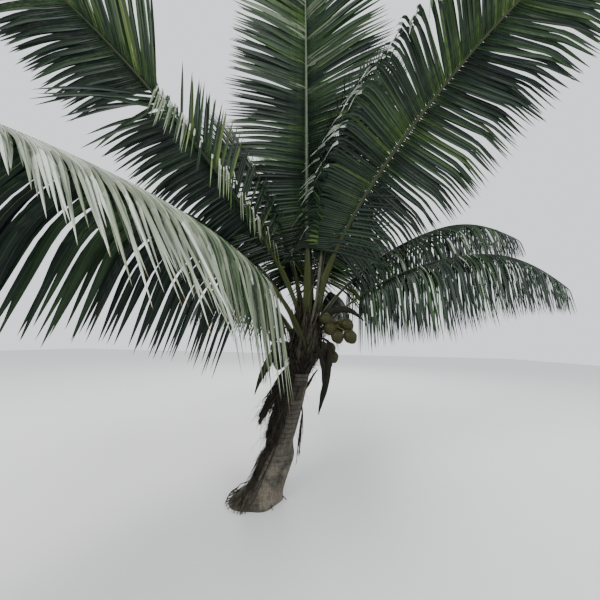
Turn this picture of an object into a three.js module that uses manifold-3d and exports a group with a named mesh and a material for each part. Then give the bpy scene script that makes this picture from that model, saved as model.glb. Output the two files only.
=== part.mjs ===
// Dwarf coconut palm: a leaning trunk, its crown of feather fronds, nuts and old spathes.
// Millimetres, +Z up, origin on the ground under the middle of the trunk's foot.
import * as THREE from "three";
import Module from "manifold-3d";

const wasm = await Module();
wasm.setup();
const { Manifold, Mesh: SolidMesh } = wasm;

// Trunk
const TRUNK_TOP = 1180;
const TRUNK_SIDES = 18;
const TRUNK_RINGS = 26;
const LEAN_REACH = 972;
const LEAN_HEIGHT = 2030;
const BOLE_RADIUS = 168;
const STEM_RADIUS = 104;
const BOLE_HEIGHT = 440;
const BOLE_BLEND = 95;
const FLARE_HEIGHT = 62;
const FLARE_ALL_ROUND = 42;
const FLARE_LEFT = 95;
const FLARE_LEFT_AZIMUTH = 196;
const FLARE_LOBES = 5;
const FLARE_LOBE_DEPTH = 12;
const SCAR_DEPTH = 5;

// Fibrous sheath that the petioles rise out of
const CORE_FOOT = TRUNK_TOP + 0.3;
const CORE_TOP = 1990;
const CORE_SIDES = 16;
const CORE_RINGS = 10;
const CORE_FOOT_RADIUS = 122;
const CORE_BELLY_RADIUS = 172;
const CORE_BELLY_AT = 0.3;
const CORE_TOP_RADIUS = 34;
const CORE_FOLDS = 4;
const CORE_FOLD_SHARE = 0.05;
const SEAT_GAP = 0.3;
const PETIOLE_GAP = 3;
const DRY_GAP = 1.5;

// Fronds
const FROND_STATIONS = 28;
const PETIOLE_SHARE = 0.17;
const PETIOLE_STEPS = 6;
const RACHIS_WIDTHS = [92, 62, 44, 12];
const RACHIS_HEIGHTS = [50, 38, 30, 10];
const LEAFLET_LENGTH = 1040;
const LEAFLET_FOOT_SHARE = 0.7;
const LEAFLET_FILL = 0.8;
const LEAFLET_RIDGE = 16;
const FOLD_KNEE = 0.18;
const FOLD_DROOP = 3.5;
const FOLD_LENGTH = 0.62;
const LEAFLET_ANGLES = [114, 88, 68, 53, 41, 28];
const STEEP_ANGLES = [104, 80, 66, 53, 41, 28];
const NOD_FROM = 0.55;
const SWEEP_ENDS = 0.7;

// Nuts and the dry pieces that hang round the crown
const NUT_RADIUS = 68;
const NUT_LONG = 1.14;
const STALK_RADIUS = 15;
const BRANCH_RADIUS = 9;

// Colours
const BARK = 0x7c6f60;
const FIBRE = 0x4a3a2c;
const LEAF = 0x3d5a26;
const NUT = 0x8c7a35;
const DRY = 0x5b4a3a;
const SPEAR = 0x9a8462;

const group = new THREE.Group();
group.name = "dwarf_coconut_palm";
const obstacles = [];
const CHUNK = 200;

const rad = (deg) => (deg * Math.PI) / 180;
const lerp = (a, b, t) => a + (b - a) * t;
const clamp01 = (t) => Math.min(1, Math.max(0, t));
const vec = (x, y, z) => new THREE.Vector3(x, y, z);

function smooth(t) {
  const c = clamp01(t);
  return c * c * (3 - 2 * c);
}

function steps(list, t) {
  const f = clamp01(t) * (list.length - 1);
  const i = Math.min(list.length - 2, Math.floor(f));
  return lerp(list[i], list[i + 1], f - i);
}

function seeded(seed) {
  let state = seed >>> 0;
  return () => {
    state = (state + 0x6d2b79f5) >>> 0;
    let t = state;
    t = Math.imul(t ^ (t >>> 15), t | 1);
    t ^= t + Math.imul(t ^ (t >>> 7), t | 61);
    return ((t ^ (t >>> 14)) >>> 0) / 4294967296;
  };
}

// Middle line of the stem at a height: it leans to +X and straightens as it rises
function stemCentre(z) {
  return vec((LEAN_REACH * z) / (z + LEAN_HEIGHT), 0, z);
}

function geometryOf(points, faces) {
  const geometry = new THREE.BufferGeometry();
  const flat = new Float32Array(points.length * 3);
  points.forEach((p, i) => flat.set([p.x, p.y, p.z], i * 3));
  geometry.setAttribute("position", new THREE.BufferAttribute(flat, 3));
  geometry.setIndex(faces.flat());
  return geometry;
}

function solidOf(points, faces) {
  const flat = new Float32Array(points.length * 3);
  points.forEach((p, i) => flat.set([p.x, p.y, p.z], i * 3));
  const triVerts = new Uint32Array(faces.flat());
  const mesh = new SolidMesh({ numProp: 3, vertProperties: flat, triVerts });
  mesh.merge();
  return new Manifold(mesh);
}

function dataOf(solid) {
  const mesh = solid.getMesh();
  const points = [];
  for (let i = 0; i < mesh.vertProperties.length; i += mesh.numProp) {
    points.push(vec(mesh.vertProperties[i], mesh.vertProperties[i + 1], mesh.vertProperties[i + 2]));
  }
  const faces = [];
  for (let i = 0; i < mesh.triVerts.length; i += 3) {
    faces.push([mesh.triVerts[i], mesh.triVerts[i + 1], mesh.triVerts[i + 2]]);
  }
  return { points, faces };
}

// The largest single body of a solid, so that no loose scrap is kept
function mainBody(solid) {
  const parts = solid.decompose();
  parts.sort((a, b) => b.volume() - a.volume());
  return parts[0];
}

function addNode(name, data, colour, roughness) {
  const material = new THREE.MeshStandardMaterial({ color: colour, roughness, metalness: 0 });
  const mesh = new THREE.Mesh(geometryOf(data.points, data.faces), material);
  mesh.name = name;
  group.add(mesh);
}

// A closed tube of rings: every ring is a list of points, counter-clockwise seen from its end
function loft(rings) {
  const sides = rings[0].length;
  const points = rings.flat();
  const faces = [];
  for (let i = 0; i + 1 < rings.length; i += 1) {
    for (let k = 0; k < sides; k += 1) {
      const n = (k + 1) % sides;
      const a = i * sides + k;
      const b = i * sides + n;
      const c = (i + 1) * sides + n;
      const d = (i + 1) * sides + k;
      faces.push([a, b, c], [a, c, d]);
    }
  }
  const foot = points.length;
  points.push(rings[0].reduce((s, p) => s.add(p), vec(0, 0, 0)).divideScalar(sides));
  const head = points.length;
  points.push(rings[rings.length - 1].reduce((s, p) => s.add(p), vec(0, 0, 0)).divideScalar(sides));
  const last = (rings.length - 1) * sides;
  for (let k = 0; k < sides; k += 1) {
    const n = (k + 1) % sides;
    faces.push([foot, n, k], [head, last + k, last + n]);
  }
  return { points, faces };
}

// Obstacles are small triangle sets with their own box, for the leaflets to keep clear of. One that
// belongs to a frond carries its station, and its side of the rib if it is a leaflet.
function addObstacle(owner, points, faces, station = null, sign = 0) {
  const box = new THREE.Box3().setFromPoints(points);
  const tris = faces.map((f) => new THREE.Triangle(points[f[0]], points[f[1]], points[f[2]]));
  obstacles.push({ owner, box, tris, station, sign });
}

function addObstacleChunks(owner, data, size) {
  const cells = new Map();
  for (const f of data.faces) {
    const m = vec(0, 0, 0);
    f.forEach((i) => m.add(data.points[i]));
    m.divideScalar(3 * size);
    const key = `${Math.floor(m.x)},${Math.floor(m.y)},${Math.floor(m.z)}`;
    if (!cells.has(key)) {
      cells.set(key, []);
    }
    cells.get(key).push(f);
  }
  for (const faces of cells.values()) {
    const points = faces.flat().map((i) => data.points[i]);
    addObstacle(owner, points, faces.map((_, k) => [3 * k, 3 * k + 1, 3 * k + 2]));
  }
}

const ray = new THREE.Ray();
const hit = new THREE.Vector3();

function edgeMeetsTriangle(a, b, tri) {
  const reach = a.distanceTo(b);
  if (reach < 1e-6) {
    return false;
  }
  ray.origin.copy(a);
  ray.direction.copy(b).sub(a).divideScalar(reach);
  const found = ray.intersectTriangle(tri.a, tri.b, tri.c, false, hit);
  return found !== null && hit.distanceTo(a) <= reach;
}

function trianglesMeet(s, t) {
  return (
    edgeMeetsTriangle(s.a, s.b, t) ||
    edgeMeetsTriangle(s.b, s.c, t) ||
    edgeMeetsTriangle(s.c, s.a, t) ||
    edgeMeetsTriangle(t.a, t.b, s) ||
    edgeMeetsTriangle(t.b, t.c, s) ||
    edgeMeetsTriangle(t.c, t.a, s)
  );
}

// Within its own frond a leaflet may touch the rib where it is rooted, and its neighbours there
function isNeighbour(o, owner, station, sign) {
  return o.owner === owner && o.sign !== -sign && Math.abs(o.station - station) < 2;
}

function shareCorner(s, t) {
  return [s.a, s.b, s.c].some((p) => [t.a, t.b, t.c].some((q) => p.distanceToSquared(q) < 1e-6));
}

function meetsAny(owner, station, sign, points, faces) {
  const box = new THREE.Box3().setFromPoints(points);
  const near = obstacles.filter((o) => o.box.intersectsBox(box));
  if (near.length === 0) {
    return false;
  }
  const tris = faces.map((f) => new THREE.Triangle(points[f[0]], points[f[1]], points[f[2]]));
  return near.some((o) => {
    if (!isNeighbour(o, owner, station, sign)) {
      return o.tris.some((t) => tris.some((s) => trianglesMeet(s, t)));
    }
    if (o.sign === 0) {
      return false;
    }
    return o.tris.some((t) => tris.some((s) => !shareCorner(s, t) && trianglesMeet(s, t)));
  });
}

// Trunk

function stemRadius(z) {
  const bole = smooth((BOLE_HEIGHT + BOLE_BLEND - z) / (2 * BOLE_BLEND));
  return lerp(STEM_RADIUS, BOLE_RADIUS, bole);
}

function flareAt(azimuth, z) {
  const turned = Math.cos(rad(azimuth - FLARE_LEFT_AZIMUTH));
  const left = FLARE_LEFT * Math.max(0, turned) ** 2;
  const lobes = FLARE_LOBE_DEPTH * Math.cos(rad(azimuth * FLARE_LOBES + 20));
  return (FLARE_ALL_ROUND + left + lobes) * Math.exp(-z / FLARE_HEIGHT);
}

function ringAt(centre, radiusOf, sides, twist) {
  const ring = [];
  for (let k = 0; k < sides; k += 1) {
    const azimuth = (k / sides) * 360 + twist;
    const r = radiusOf(azimuth);
    const spoke = vec(r * Math.cos(rad(azimuth)), r * Math.sin(rad(azimuth)), 0);
    ring.push(spoke.add(centre));
  }
  return ring;
}

const trunkRings = [];
for (let i = 0; i <= TRUNK_RINGS; i += 1) {
  const z = TRUNK_TOP * (i / TRUNK_RINGS) ** 1.25;
  const scar = i > 1 && i < TRUNK_RINGS ? SCAR_DEPTH * (i % 2 === 0 ? 1 : -1) : 0;
  const radiusOf = (azimuth) => stemRadius(z) + scar + flareAt(azimuth, z);
  trunkRings.push(ringAt(stemCentre(z), radiusOf, TRUNK_SIDES, 0));
}
const trunk = loft(trunkRings);
addNode("trunk", trunk, BARK, 0.95);
addObstacleChunks("trunk", trunk, CHUNK);

// Fibrous sheath

function coreRadius(share) {
  if (share < CORE_BELLY_AT) {
    return lerp(CORE_FOOT_RADIUS, CORE_BELLY_RADIUS, smooth(share / CORE_BELLY_AT));
  }
  const up = (share - CORE_BELLY_AT) / (1 - CORE_BELLY_AT);
  return lerp(CORE_BELLY_RADIUS, CORE_TOP_RADIUS, up ** 1.35);
}

function coreSolid(extra) {
  const rings = [];
  for (let i = 0; i <= CORE_RINGS; i += 1) {
    const share = i / CORE_RINGS;
    let z = lerp(CORE_FOOT, CORE_TOP, share);
    if (i === 0) {
      z -= extra;
    }
    if (i === CORE_RINGS) {
      z += extra;
    }
    const fold = (a) => 1 + CORE_FOLD_SHARE * Math.cos(rad(a * CORE_FOLDS + 40 * i));
    rings.push(ringAt(stemCentre(z), (a) => coreRadius(share) * fold(a) + extra, CORE_SIDES, 11));
  }
  return loft(rings);
}

const core = coreSolid(0);
addNode("crown_fibre", core, FIBRE, 1);
addObstacleChunks("crown_fibre", core, CHUNK);

// Room kept round the sheath and the trunk
const coreRoom = solidOf(coreSolid(SEAT_GAP).points, core.faces);
const trunkRoom = trunkRoomSolid();

function trunkRoomSolid() {
  const rings = trunkRings.map((ring, i) => {
    const middle = stemCentre(ring[0].z);
    const rise = i === TRUNK_RINGS ? SEAT_GAP : 0;
    return ring.map((p) => {
      const outward = p.clone().sub(middle).setLength(SEAT_GAP);
      return p.clone().add(outward).add(vec(0, 0, rise));
    });
  });
  return solidOf(loft(rings).points, trunk.faces);
}

// Fronds
// Each starts inside the sheath at an offset from the stem's middle line. Its rise above level falls
// by "bend" along its length, by a power of the share run, and it nods a little more at the tip.
// "roll" turns its face about the rib. On its right and left side "lift" raises the leaflets' roots
// and "droop" pulls their ends down past the "knee". "angles" turn them from the rib's direction, from
// foot to tip, leaflets within "fold" have snapped over and hang, and "short" is what outer ones lost.
const spreading = { lift: 4, droop: 0.25, knee: 0.55 };
const upright = { lift: 4, droop: 0.15, knee: 0.55, angles: STEEP_ANGLES };
const arching = { lift: -8, droop: 0.8, knee: 0.45 };
const drooping = { lift: -26, droop: 1.6, knee: 0.32 };
const hanging = { lift: -36, droop: 2.2, knee: 0.3 };
const limp = { lift: -44, droop: 5.5, knee: 0.2 };

const frondList = [
  { name: "frond_front_upright", at: [-22, -40, 1740], azimuth: -98.8, rise: 79.7, bend: 13.8, power: 2.3,
    sweep: 1.3, nod: 8, length: 4800, roll: 0, leaf: 1, right: upright, left: upright },
  { name: "frond_right_high", at: [52, -50, 1740], azimuth: -32, rise: 90, bend: 62, power: 0.46,
    sweep: -3.9, nod: 20, length: 4900, roll: -48, leaf: 1,
    right: { lift: 4, droop: 2.6, knee: 0.66 }, left: { lift: 4, droop: 0.6, knee: 0.64 } },
  { name: "frond_left_high", at: [-115, -20, 1780], azimuth: -168.9, rise: 80.6, bend: 51.6, power: 0.45,
    sweep: 32.5, nod: 20, length: 4900, roll: 40, leaf: 1,
    right: { lift: 2, droop: 0.35, knee: 0.6, angles: [95, 74, 62, 52, 41, 28] },
    left: { lift: 14, droop: 0.1, knee: 0.6, angles: [68, 54, 49, 38, 28, 20], fold: [0, 0.46] } },
  { name: "frond_left_low", at: [-15, -120, 1420], azimuth: -146.2, rise: 90, bend: 125, power: 0.51,
    sweep: 25, nod: 10, length: 4700, roll: 0, leaf: 1.24, foot: 1.02, split: 0.5,
    right: { lift: -56, droop: 1, knee: 0.4, angles: [96, 76, 60, 54, 48, 40] },
    left: { lift: -34, droop: 0.4, knee: 0.4, angles: [105, 98, 97, 96, 88, 75], short: 0.55 } },
  { name: "frond_right_low", at: [92, -18, 1570], azimuth: 8, rise: 54, bend: 62, power: 0.67,
    sweep: 7, nod: 22, length: 4400, roll: 0, leaf: 1, right: limp, left: limp, split: 0.5 },
  { name: "frond_right_rear", at: [86, 32, 1690], azimuth: 23, rise: 66, bend: 54, power: 0.5,
    sweep: -11, nod: 26, length: 4500, roll: 0, leaf: 0.95, right: drooping, left: drooping },
  { name: "frond_rear_upright", at: [58, 40, 1830], azimuth: 20, rise: 83, bend: 24, power: 1.1,
    sweep: 6, nod: 12, length: 4600, roll: -36, leaf: 0.97, right: spreading, left: spreading },
  { name: "frond_rear_right_mid", at: [62, 100, 1620], azimuth: 56, rise: 74, bend: 72, power: 0.8,
    sweep: 8, nod: 20, length: 4500, roll: 12, leaf: 0.97, right: arching, left: arching },
  { name: "frond_rear_right_low", at: [52, 92, 1420], azimuth: 72, rise: 62, bend: 74, power: 0.6,
    sweep: 10, nod: 22, length: 4300, roll: 0, leaf: 0.93, right: hanging, left: hanging, split: 0.5 },
  { name: "frond_rear_high", at: [-6, 72, 1810], azimuth: 88, rise: 84, bend: 42, power: 1,
    sweep: 8, nod: 14, length: 4600, roll: 14, leaf: 0.97, right: spreading, left: spreading },
  { name: "frond_rear_mid", at: [-34, 112, 1620], azimuth: 108, rise: 72, bend: 66, power: 0.8,
    sweep: 6, nod: 18, length: 4500, roll: -12, leaf: 0.97, right: arching, left: arching },
  { name: "frond_rear_left_low", at: [-62, 92, 1420], azimuth: 128, rise: 62, bend: 74, power: 0.6,
    sweep: 8, nod: 22, length: 4300, roll: 0, leaf: 0.93, right: hanging, left: hanging, split: 0.5 },
  { name: "frond_rear_left_high", at: [-84, 44, 1790], azimuth: 142, rise: 82, bend: 50, power: 0.9,
    sweep: 10, nod: 16, length: 4500, roll: 20, leaf: 0.95, right: spreading, left: spreading },
  { name: "frond_left_rear_mid", at: [-118, 52, 1630], azimuth: 162, rise: 70, bend: 70, power: 0.75,
    sweep: 4, nod: 20, length: 4400, roll: 0, leaf: 0.95, right: arching, left: arching },
];

// The rib's own axes at a share of its length: forward along it, up out of its face, side to its right
function axesAt(f, share) {
  const nod = f.nod * smooth((share - NOD_FROM) / (1 - NOD_FROM));
  const rise = rad(f.rise - f.bend * share ** f.power - nod);
  const azimuth = rad(f.azimuth + f.sweep * Math.min(share, SWEEP_ENDS));
  const level = vec(Math.cos(azimuth), Math.sin(azimuth), 0);
  const sky = vec(0, 0, 1);
  const forward = level.clone().multiplyScalar(Math.cos(rise)).addScaledVector(sky, Math.sin(rise));
  const up = level.clone().multiplyScalar(-Math.sin(rise)).addScaledVector(sky, Math.cos(rise));
  const roll = rad(f.roll) * smooth(share / PETIOLE_SHARE);
  up.applyAxisAngle(forward, roll);
  return { forward, up, side: forward.clone().cross(up) };
}

// Frames along a rib from inside the sheath to the tip
function frondFrames(f) {
  const count = PETIOLE_STEPS + FROND_STATIONS;
  const foot = stemCentre(f.at[2]).add(vec(f.at[0], f.at[1], 0));
  const shares = [];
  for (let i = 0; i <= PETIOLE_STEPS; i += 1) {
    shares.push((PETIOLE_SHARE * i) / PETIOLE_STEPS);
  }
  for (let i = 1; i <= FROND_STATIONS; i += 1) {
    const t = i / FROND_STATIONS;
    shares.push(lerp(PETIOLE_SHARE, 1, t ** 0.94));
  }
  const fine = 12;
  const frames = [];
  const at = foot.clone();
  for (let i = 0; i <= count; i += 1) {
    if (i > 0) {
      const run = shares[i] - shares[i - 1];
      for (let k = 0; k < fine; k += 1) {
        const s = shares[i - 1] + (run * (k + 0.5)) / fine;
        at.addScaledVector(axesAt(f, s).forward, (run * f.length) / fine);
      }
    }
    const leafy = clamp01((shares[i] - PETIOLE_SHARE) / (1 - PETIOLE_SHARE));
    const petiole = clamp01(shares[i] / PETIOLE_SHARE);
    const place = i <= PETIOLE_STEPS ? petiole * 0.45 : lerp(0.45, 1, leafy);
    frames.push({
      at: at.clone(),
      ...axesAt(f, shares[i]),
      share: shares[i],
      halfWidth: steps(RACHIS_WIDTHS, place) / 2,
      halfHeight: steps(RACHIS_HEIGHTS, place) / 2,
    });
  }
  return frames;
}

function corners(frame) {
  const w = frame.side.clone().multiplyScalar(frame.halfWidth);
  const h = frame.up.clone().multiplyScalar(frame.halfHeight);
  return {
    topLeft: frame.at.clone().sub(w).add(h),
    topRight: frame.at.clone().add(w).add(h),
    lowLeft: frame.at.clone().sub(w).sub(h),
    lowRight: frame.at.clone().add(w).sub(h),
  };
}

// Length of a leaflet at a share of the leafy part: short at the foot, longest at a third
function leafletLength(f, habit, u) {
  const worn = 1 - (habit.short ?? 0) * smooth((u - 0.35) / 0.5);
  const kept = isFolded(habit, u) ? worn * FOLD_LENGTH : worn;
  if (u < 0.3) {
    return LEAFLET_LENGTH * kept * lerp(f.foot ?? LEAFLET_FOOT_SHARE, 1, smooth(u / 0.3));
  }
  return LEAFLET_LENGTH * kept * (1 - 0.6 * ((u - 0.3) / 0.7) ** 2.2);
}

function isFolded(habit, u) {
  return Boolean(habit.fold) && u > habit.fold[0] && u < habit.fold[1];
}

function leafletShape(f, a, b, sign, length, lean, grow) {
  const u = clamp01((0.5 * (a.share + b.share) - PETIOLE_SHARE) / (1 - PETIOLE_SHARE));
  const forward = a.forward.clone().add(b.forward).normalize();
  const up = a.up.clone().add(b.up).normalize();
  const side = a.side.clone().add(b.side).normalize().multiplyScalar(sign);
  const habit = sign > 0 ? f.right : f.left;
  const lift = rad(habit.lift + lean);
  const turn = rad(steps(habit.angles ?? LEAFLET_ANGLES, u));
  const out = forward.clone().multiplyScalar(Math.cos(turn));
  out.addScaledVector(side, Math.sin(turn) * Math.cos(lift));
  out.addScaledVector(up, Math.sin(turn) * Math.sin(lift));
  out.normalize();
  const folded = isFolded(habit, u);
  const knee = folded ? FOLD_KNEE : habit.knee;
  const hang = out.clone().add(vec(0, 0, folded ? -FOLD_DROOP : -habit.droop)).normalize();
  const across = forward.clone().addScaledVector(out, -forward.dot(out)).normalize();
  // Its ridge stands outside the bend when it turns back under itself
  const crest = out.clone().cross(across);
  if (out.dot(hang) < 0 && hang.dot(up) < 0) {
    crest.copy(out).sub(hang).normalize();
    crest.addScaledVector(across, -crest.dot(across)).normalize();
  }
  if (crest.dot(up) < 0) {
    crest.negate();
  }
  const pitch = a.at.distanceTo(b.at);
  const width = LEAFLET_FILL * pitch * Math.sin(turn) + grow;
  const root = a.at.clone().add(b.at).multiplyScalar(0.5);
  root.addScaledVector(side, 0.5 * (a.halfWidth + b.halfWidth));
  const bend = root.clone().addScaledVector(out, length * knee);
  const tip = bend.clone().addScaledVector(hang, length * (1 - knee) + grow);
  const low = -grow / 2;
  return {
    near: bend.clone().addScaledVector(across, -width / 2).addScaledVector(crest, low),
    far: bend.clone().addScaledVector(across, width / 2).addScaledVector(crest, low),
    ridge: bend.clone().addScaledVector(crest, LEAFLET_RIDGE + grow / 2),
    tip,
  };
}

// Faces of one leaflet on the four corners of its root, seen from outside counter-clockwise
function leafletFaces(lowA, lowB, topB, topA, near, far, ridge, tip) {
  return [
    [lowA, lowB, far],
    [lowA, far, near],
    [lowB, topB, far],
    [topB, ridge, far],
    [topB, topA, ridge],
    [topA, near, ridge],
    [topA, lowA, near],
    [near, far, tip],
    [far, ridge, tip],
    [ridge, near, tip],
  ];
}

// Shares of its length that a leaflet is tried at until it clears its neighbours
const LEAFLET_TRIES = [1, 0.86, 0.72, 0.58, 0.45, 0.33];

function tryLeaflet(f, station, sign, rnd) {
  const a = frames.get(f.name)[PETIOLE_STEPS + station];
  const b = frames.get(f.name)[PETIOLE_STEPS + station + 1];
  const u = clamp01((0.5 * (a.share + b.share) - PETIOLE_SHARE) / (1 - PETIOLE_SHARE));
  const habit = sign > 0 ? f.right : f.left;
  const full = leafletLength(f, habit, u) * f.leaf * lerp(0.94, 1.04, rnd());
  const lean = lerp(-4, 4, rnd());
  const ca = corners(a);
  const cb = corners(b);
  const root = sign > 0
    ? [ca.lowRight, cb.lowRight, cb.topRight, ca.topRight]
    : [cb.lowLeft, ca.lowLeft, ca.topLeft, cb.topLeft];
  for (const share of LEAFLET_TRIES) {
    const test = leafletShape(f, a, b, sign, full * share, lean, 5);
    const order = sign > 0 ? [test.near, test.far] : [test.far, test.near];
    const points = [...root, order[0], order[1], test.ridge, test.tip];
    if (!meetsAny(f.name, station, sign, points, leafletFaces(0, 1, 2, 3, 4, 5, 6, 7))) {
      const real = leafletShape(f, a, b, sign, full * share, lean, 0);
      const pair = sign > 0 ? [real.near, real.far] : [real.far, real.near];
      return { root, points: [pair[0], pair[1], real.ridge, real.tip] };
    }
  }
  return null;
}

const frames = new Map();
for (const f of frondList) {
  const list = frondFrames(f);
  frames.set(f.name, list);
  const rings = list.map((fr) => {
    const c = corners(fr);
    return [c.topLeft, c.topRight, c.lowRight, c.lowLeft];
  });
  for (let i = 0; i + 1 < rings.length; i += 1) {
    const part = loft([rings[i], rings[i + 1]]);
    addObstacle(f.name, part.points, part.faces, i - PETIOLE_STEPS);
  }
}

// Room kept round the stalk end of a frond that is already placed
const petioleRooms = new Map(frondList.map((f) => [f.name, petioleRoom(f)]));

function petioleRoom(f) {
  const rings = frames.get(f.name).slice(0, PETIOLE_STEPS + 3).map((fr, i) => {
    const grown = { ...fr };
    grown.halfWidth += PETIOLE_GAP;
    grown.halfHeight += PETIOLE_GAP;
    grown.at = fr.at.clone().addScaledVector(fr.forward, i === 0 ? -PETIOLE_GAP : 0);
    const c = corners(grown);
    return [c.topLeft, c.topRight, c.lowRight, c.lowLeft];
  });
  const shape = loft(rings);
  return solidOf(shape.points, shape.faces);
}

function clearOf(solid, rooms) {
  return mainBody(rooms.reduce((left, room) => left.subtract(room), solid));
}

// A swept piece: a curve through its points, with its half width and half thickness along it
function sweep(points, halfWidths, halfThicks, face, count, sides) {
  const curve = new THREE.CatmullRomCurve3(points, false, "centripetal");
  const rings = [];
  for (let i = 0; i <= count; i += 1) {
    const t = i / count;
    const at = curve.getPointAt(t);
    const forward = curve.getTangentAt(t);
    const across = face.clone().cross(forward).normalize();
    const out = forward.clone().cross(across);
    const ring = [];
    for (let k = 0; k < sides; k += 1) {
      const turn = rad(360 * (k / sides) + 180 / sides);
      const p = at.clone().addScaledVector(across, Math.cos(turn) * steps(halfWidths, t) * Math.SQRT2);
      ring.push(p.addScaledVector(out, Math.sin(turn) * steps(halfThicks, t) * Math.SQRT2));
    }
    rings.push(ring);
  }
  return loft(rings);
}

function nutShape(centre, tilt) {
  const levels = [-0.88, -0.38, 0.3, 0.82];
  const rings = levels.map((level) => {
    const r = NUT_RADIUS * Math.sqrt(1 - level * level) * (level > 0 ? 1 : 0.96);
    return ringAt(vec(0, 0, level * NUT_RADIUS * NUT_LONG), () => r, 7, level * 30);
  });
  const shape = loft(rings);
  shape.points[shape.points.length - 2].z = -NUT_RADIUS * NUT_LONG;
  shape.points[shape.points.length - 1].z = NUT_RADIUS * NUT_LONG;
  shape.points.forEach((p) => p.applyAxisAngle(vec(0, 1, 0), rad(tilt)).add(centre));
  return shape;
}

// A bunch: one stalk out of the sheath, and a short branch from it to every nut. A nut's place is
// counted from the stalk's head.
const bunchList = [
  { name: "nut_bunch_right", azimuth: -24, height: 1660, reach: 290, fall: -10, drift: -30,
    nuts: [[-86, -6, 84], [-42, -22, -16], [34, -20, -98], [146, 18, 34], [172, -8, -96], [60, 92, 0]] },
  { name: "nut_bunch_left", azimuth: 186, height: 1600, reach: 380, fall: -30, drift: 0,
    nuts: [[-62, -40, 62], [66, -66, -20], [10, 40, -60]] },
  { name: "nut_bunch_rear_right", azimuth: 40, height: 1490, reach: 330, fall: 90, drift: 0,
    nuts: [[-50, -20, 60], [60, 40, 50], [70, -50, -50], [-30, 70, -40], [10, -10, -130]] },
  { name: "nut_bunch_rear_left", azimuth: 150, height: 1480, reach: 330, fall: 90, drift: 0,
    nuts: [[50, -20, 60], [-60, 40, 50], [-70, -50, -50], [30, 70, -40], [-10, -10, -130]] },
];

function bunchSolid(b) {
  const axis = stemCentre(b.height);
  const out = vec(Math.cos(rad(b.azimuth)), Math.sin(rad(b.azimuth)), 0);
  const foot = axis.clone().addScaledVector(out, 60);
  const head = axis.clone().addScaledVector(out, b.reach).add(vec(0, b.drift, -b.fall));
  const middle = foot.clone().lerp(head, 0.55).add(vec(0, 0, 50));
  const stout = [STALK_RADIUS, BRANCH_RADIUS];
  const slim = [BRANCH_RADIUS, BRANCH_RADIUS];
  const stalk = sweep([foot, middle, head], stout, stout, vec(0, 0, 1), 4, 5);
  const start = foot.clone().lerp(head, 0.72).add(vec(0, 0, 22));
  let solid = solidOf(stalk.points, stalk.faces);
  b.nuts.forEach(([x, y, z], i) => {
    const centre = head.clone().add(vec(x, y, z));
    const nut = nutShape(centre, 14 * Math.cos(2.4 * i));
    const halfway = start.clone().lerp(centre, 0.5).add(vec(0, 0, 6));
    const branch = sweep([start, halfway, centre], slim, slim, vec(0.3, 0.2, 1).normalize(), 2, 4);
    solid = solid.add(solidOf(nut.points, nut.faces));
    solid = solid.add(solidOf(branch.points, branch.faces));
  });
  return solid;
}

// Dry pieces: each runs from a point on the stem's side, by azimuth, distance out and height
const dryList = [
  { name: "spathe_right_arching", face: [0, 1, 0.2], colour: DRY,
    widths: [18, 46, 52, 34, 5], thicks: [14, 22, 20, 14, 4],
    path: [[-14, 90, 1770], [-14, 260, 1862], [-9, 430, 1872], [-8, 610, 1755]] },
  { name: "spathe_right_hanging", face: [0, 1, 0], colour: DRY,
    widths: [10, 26, 48, 44, 5], thicks: [9, 12, 16, 12, 4],
    path: [[-30, 90, 1570], [-24, 268, 1500], [-20, 300, 1180], [-14, 292, 780]] },
  { name: "spathe_right_short", face: [0.2, 1, 0], colour: DRY,
    widths: [10, 34, 30, 4], thicks: [9, 14, 12, 4],
    path: [[-64, 90, 1500], [-52, 218, 1440], [-46, 290, 1290], [-42, 318, 1110]] },
  { name: "dead_strip_right", face: [1, 0.4, 0], colour: DRY,
    widths: [12, 16, 14, 4], thicks: [6, 7, 6, 3],
    path: [[-30, 60, 900], [-24, 118, 820], [-16, 150, 600], [-12, 216, 300]] },
  { name: "dead_leaf_left", face: [0.3, 1, 0], colour: DRY,
    widths: [12, 30, 58, 48, 6], thicks: [8, 10, 12, 10, 4],
    path: [[206, 90, 1430], [202, 300, 1440], [198, 400, 1240], [192, 430, 960]] },
  { name: "dead_sheath_left_upper", face: [0.5, 1, 0], colour: FIBRE,
    widths: [40, 64, 52, 8], thicks: [12, 18, 14, 5],
    path: [[206, 70, 1270], [204, 170, 1180], [200, 250, 980], [196, 330, 760]] },
  { name: "dead_sheath_left_lower", face: [0.4, 1, 0], colour: FIBRE,
    widths: [40, 70, 60, 10], thicks: [12, 20, 16, 6],
    path: [[232, 60, 1230], [226, 150, 1080], [216, 176, 820], [206, 196, 560]] },
  { name: "dead_sheath_rear", face: [1, -0.2, 0], colour: FIBRE,
    widths: [40, 66, 56, 10], thicks: [12, 18, 14, 6],
    path: [[96, 60, 1240], [96, 160, 1120], [92, 206, 860], [88, 240, 640]] },
  { name: "spear", face: [0, 1, 0], colour: SPEAR,
    widths: [12, 22, 36, 34, 22, 4], thicks: [10, 14, 17, 16, 11, 4],
    path: [[-84, 95, 1620], [-80, 158, 1800], [-78, 150, 2300], [-77, 128, 3040]] },
];

function drySolid(d, grow) {
  const points = d.path.map(([azimuth, out, height]) => {
    const spoke = vec(Math.cos(rad(azimuth)), Math.sin(rad(azimuth)), 0);
    return stemCentre(height).addScaledVector(spoke, out);
  });
  const widths = d.widths.map((w) => w + grow);
  const thicks = d.thicks.map((t) => t + grow);
  const shape = sweep(points, widths, thicks, vec(...d.face).normalize(), 9, 4);
  return solidOf(shape.points, shape.faces);
}

// Old leaf bases that stand off the stem below the sheath
const stubList = [
  { name: "leaf_base_front", azimuth: -70, height: 960 },
  { name: "leaf_base_right", azimuth: 14, height: 1050 },
  { name: "leaf_base_rear", azimuth: 130, height: 900 },
  { name: "leaf_base_left", azimuth: 172, height: 1010 },
];

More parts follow.
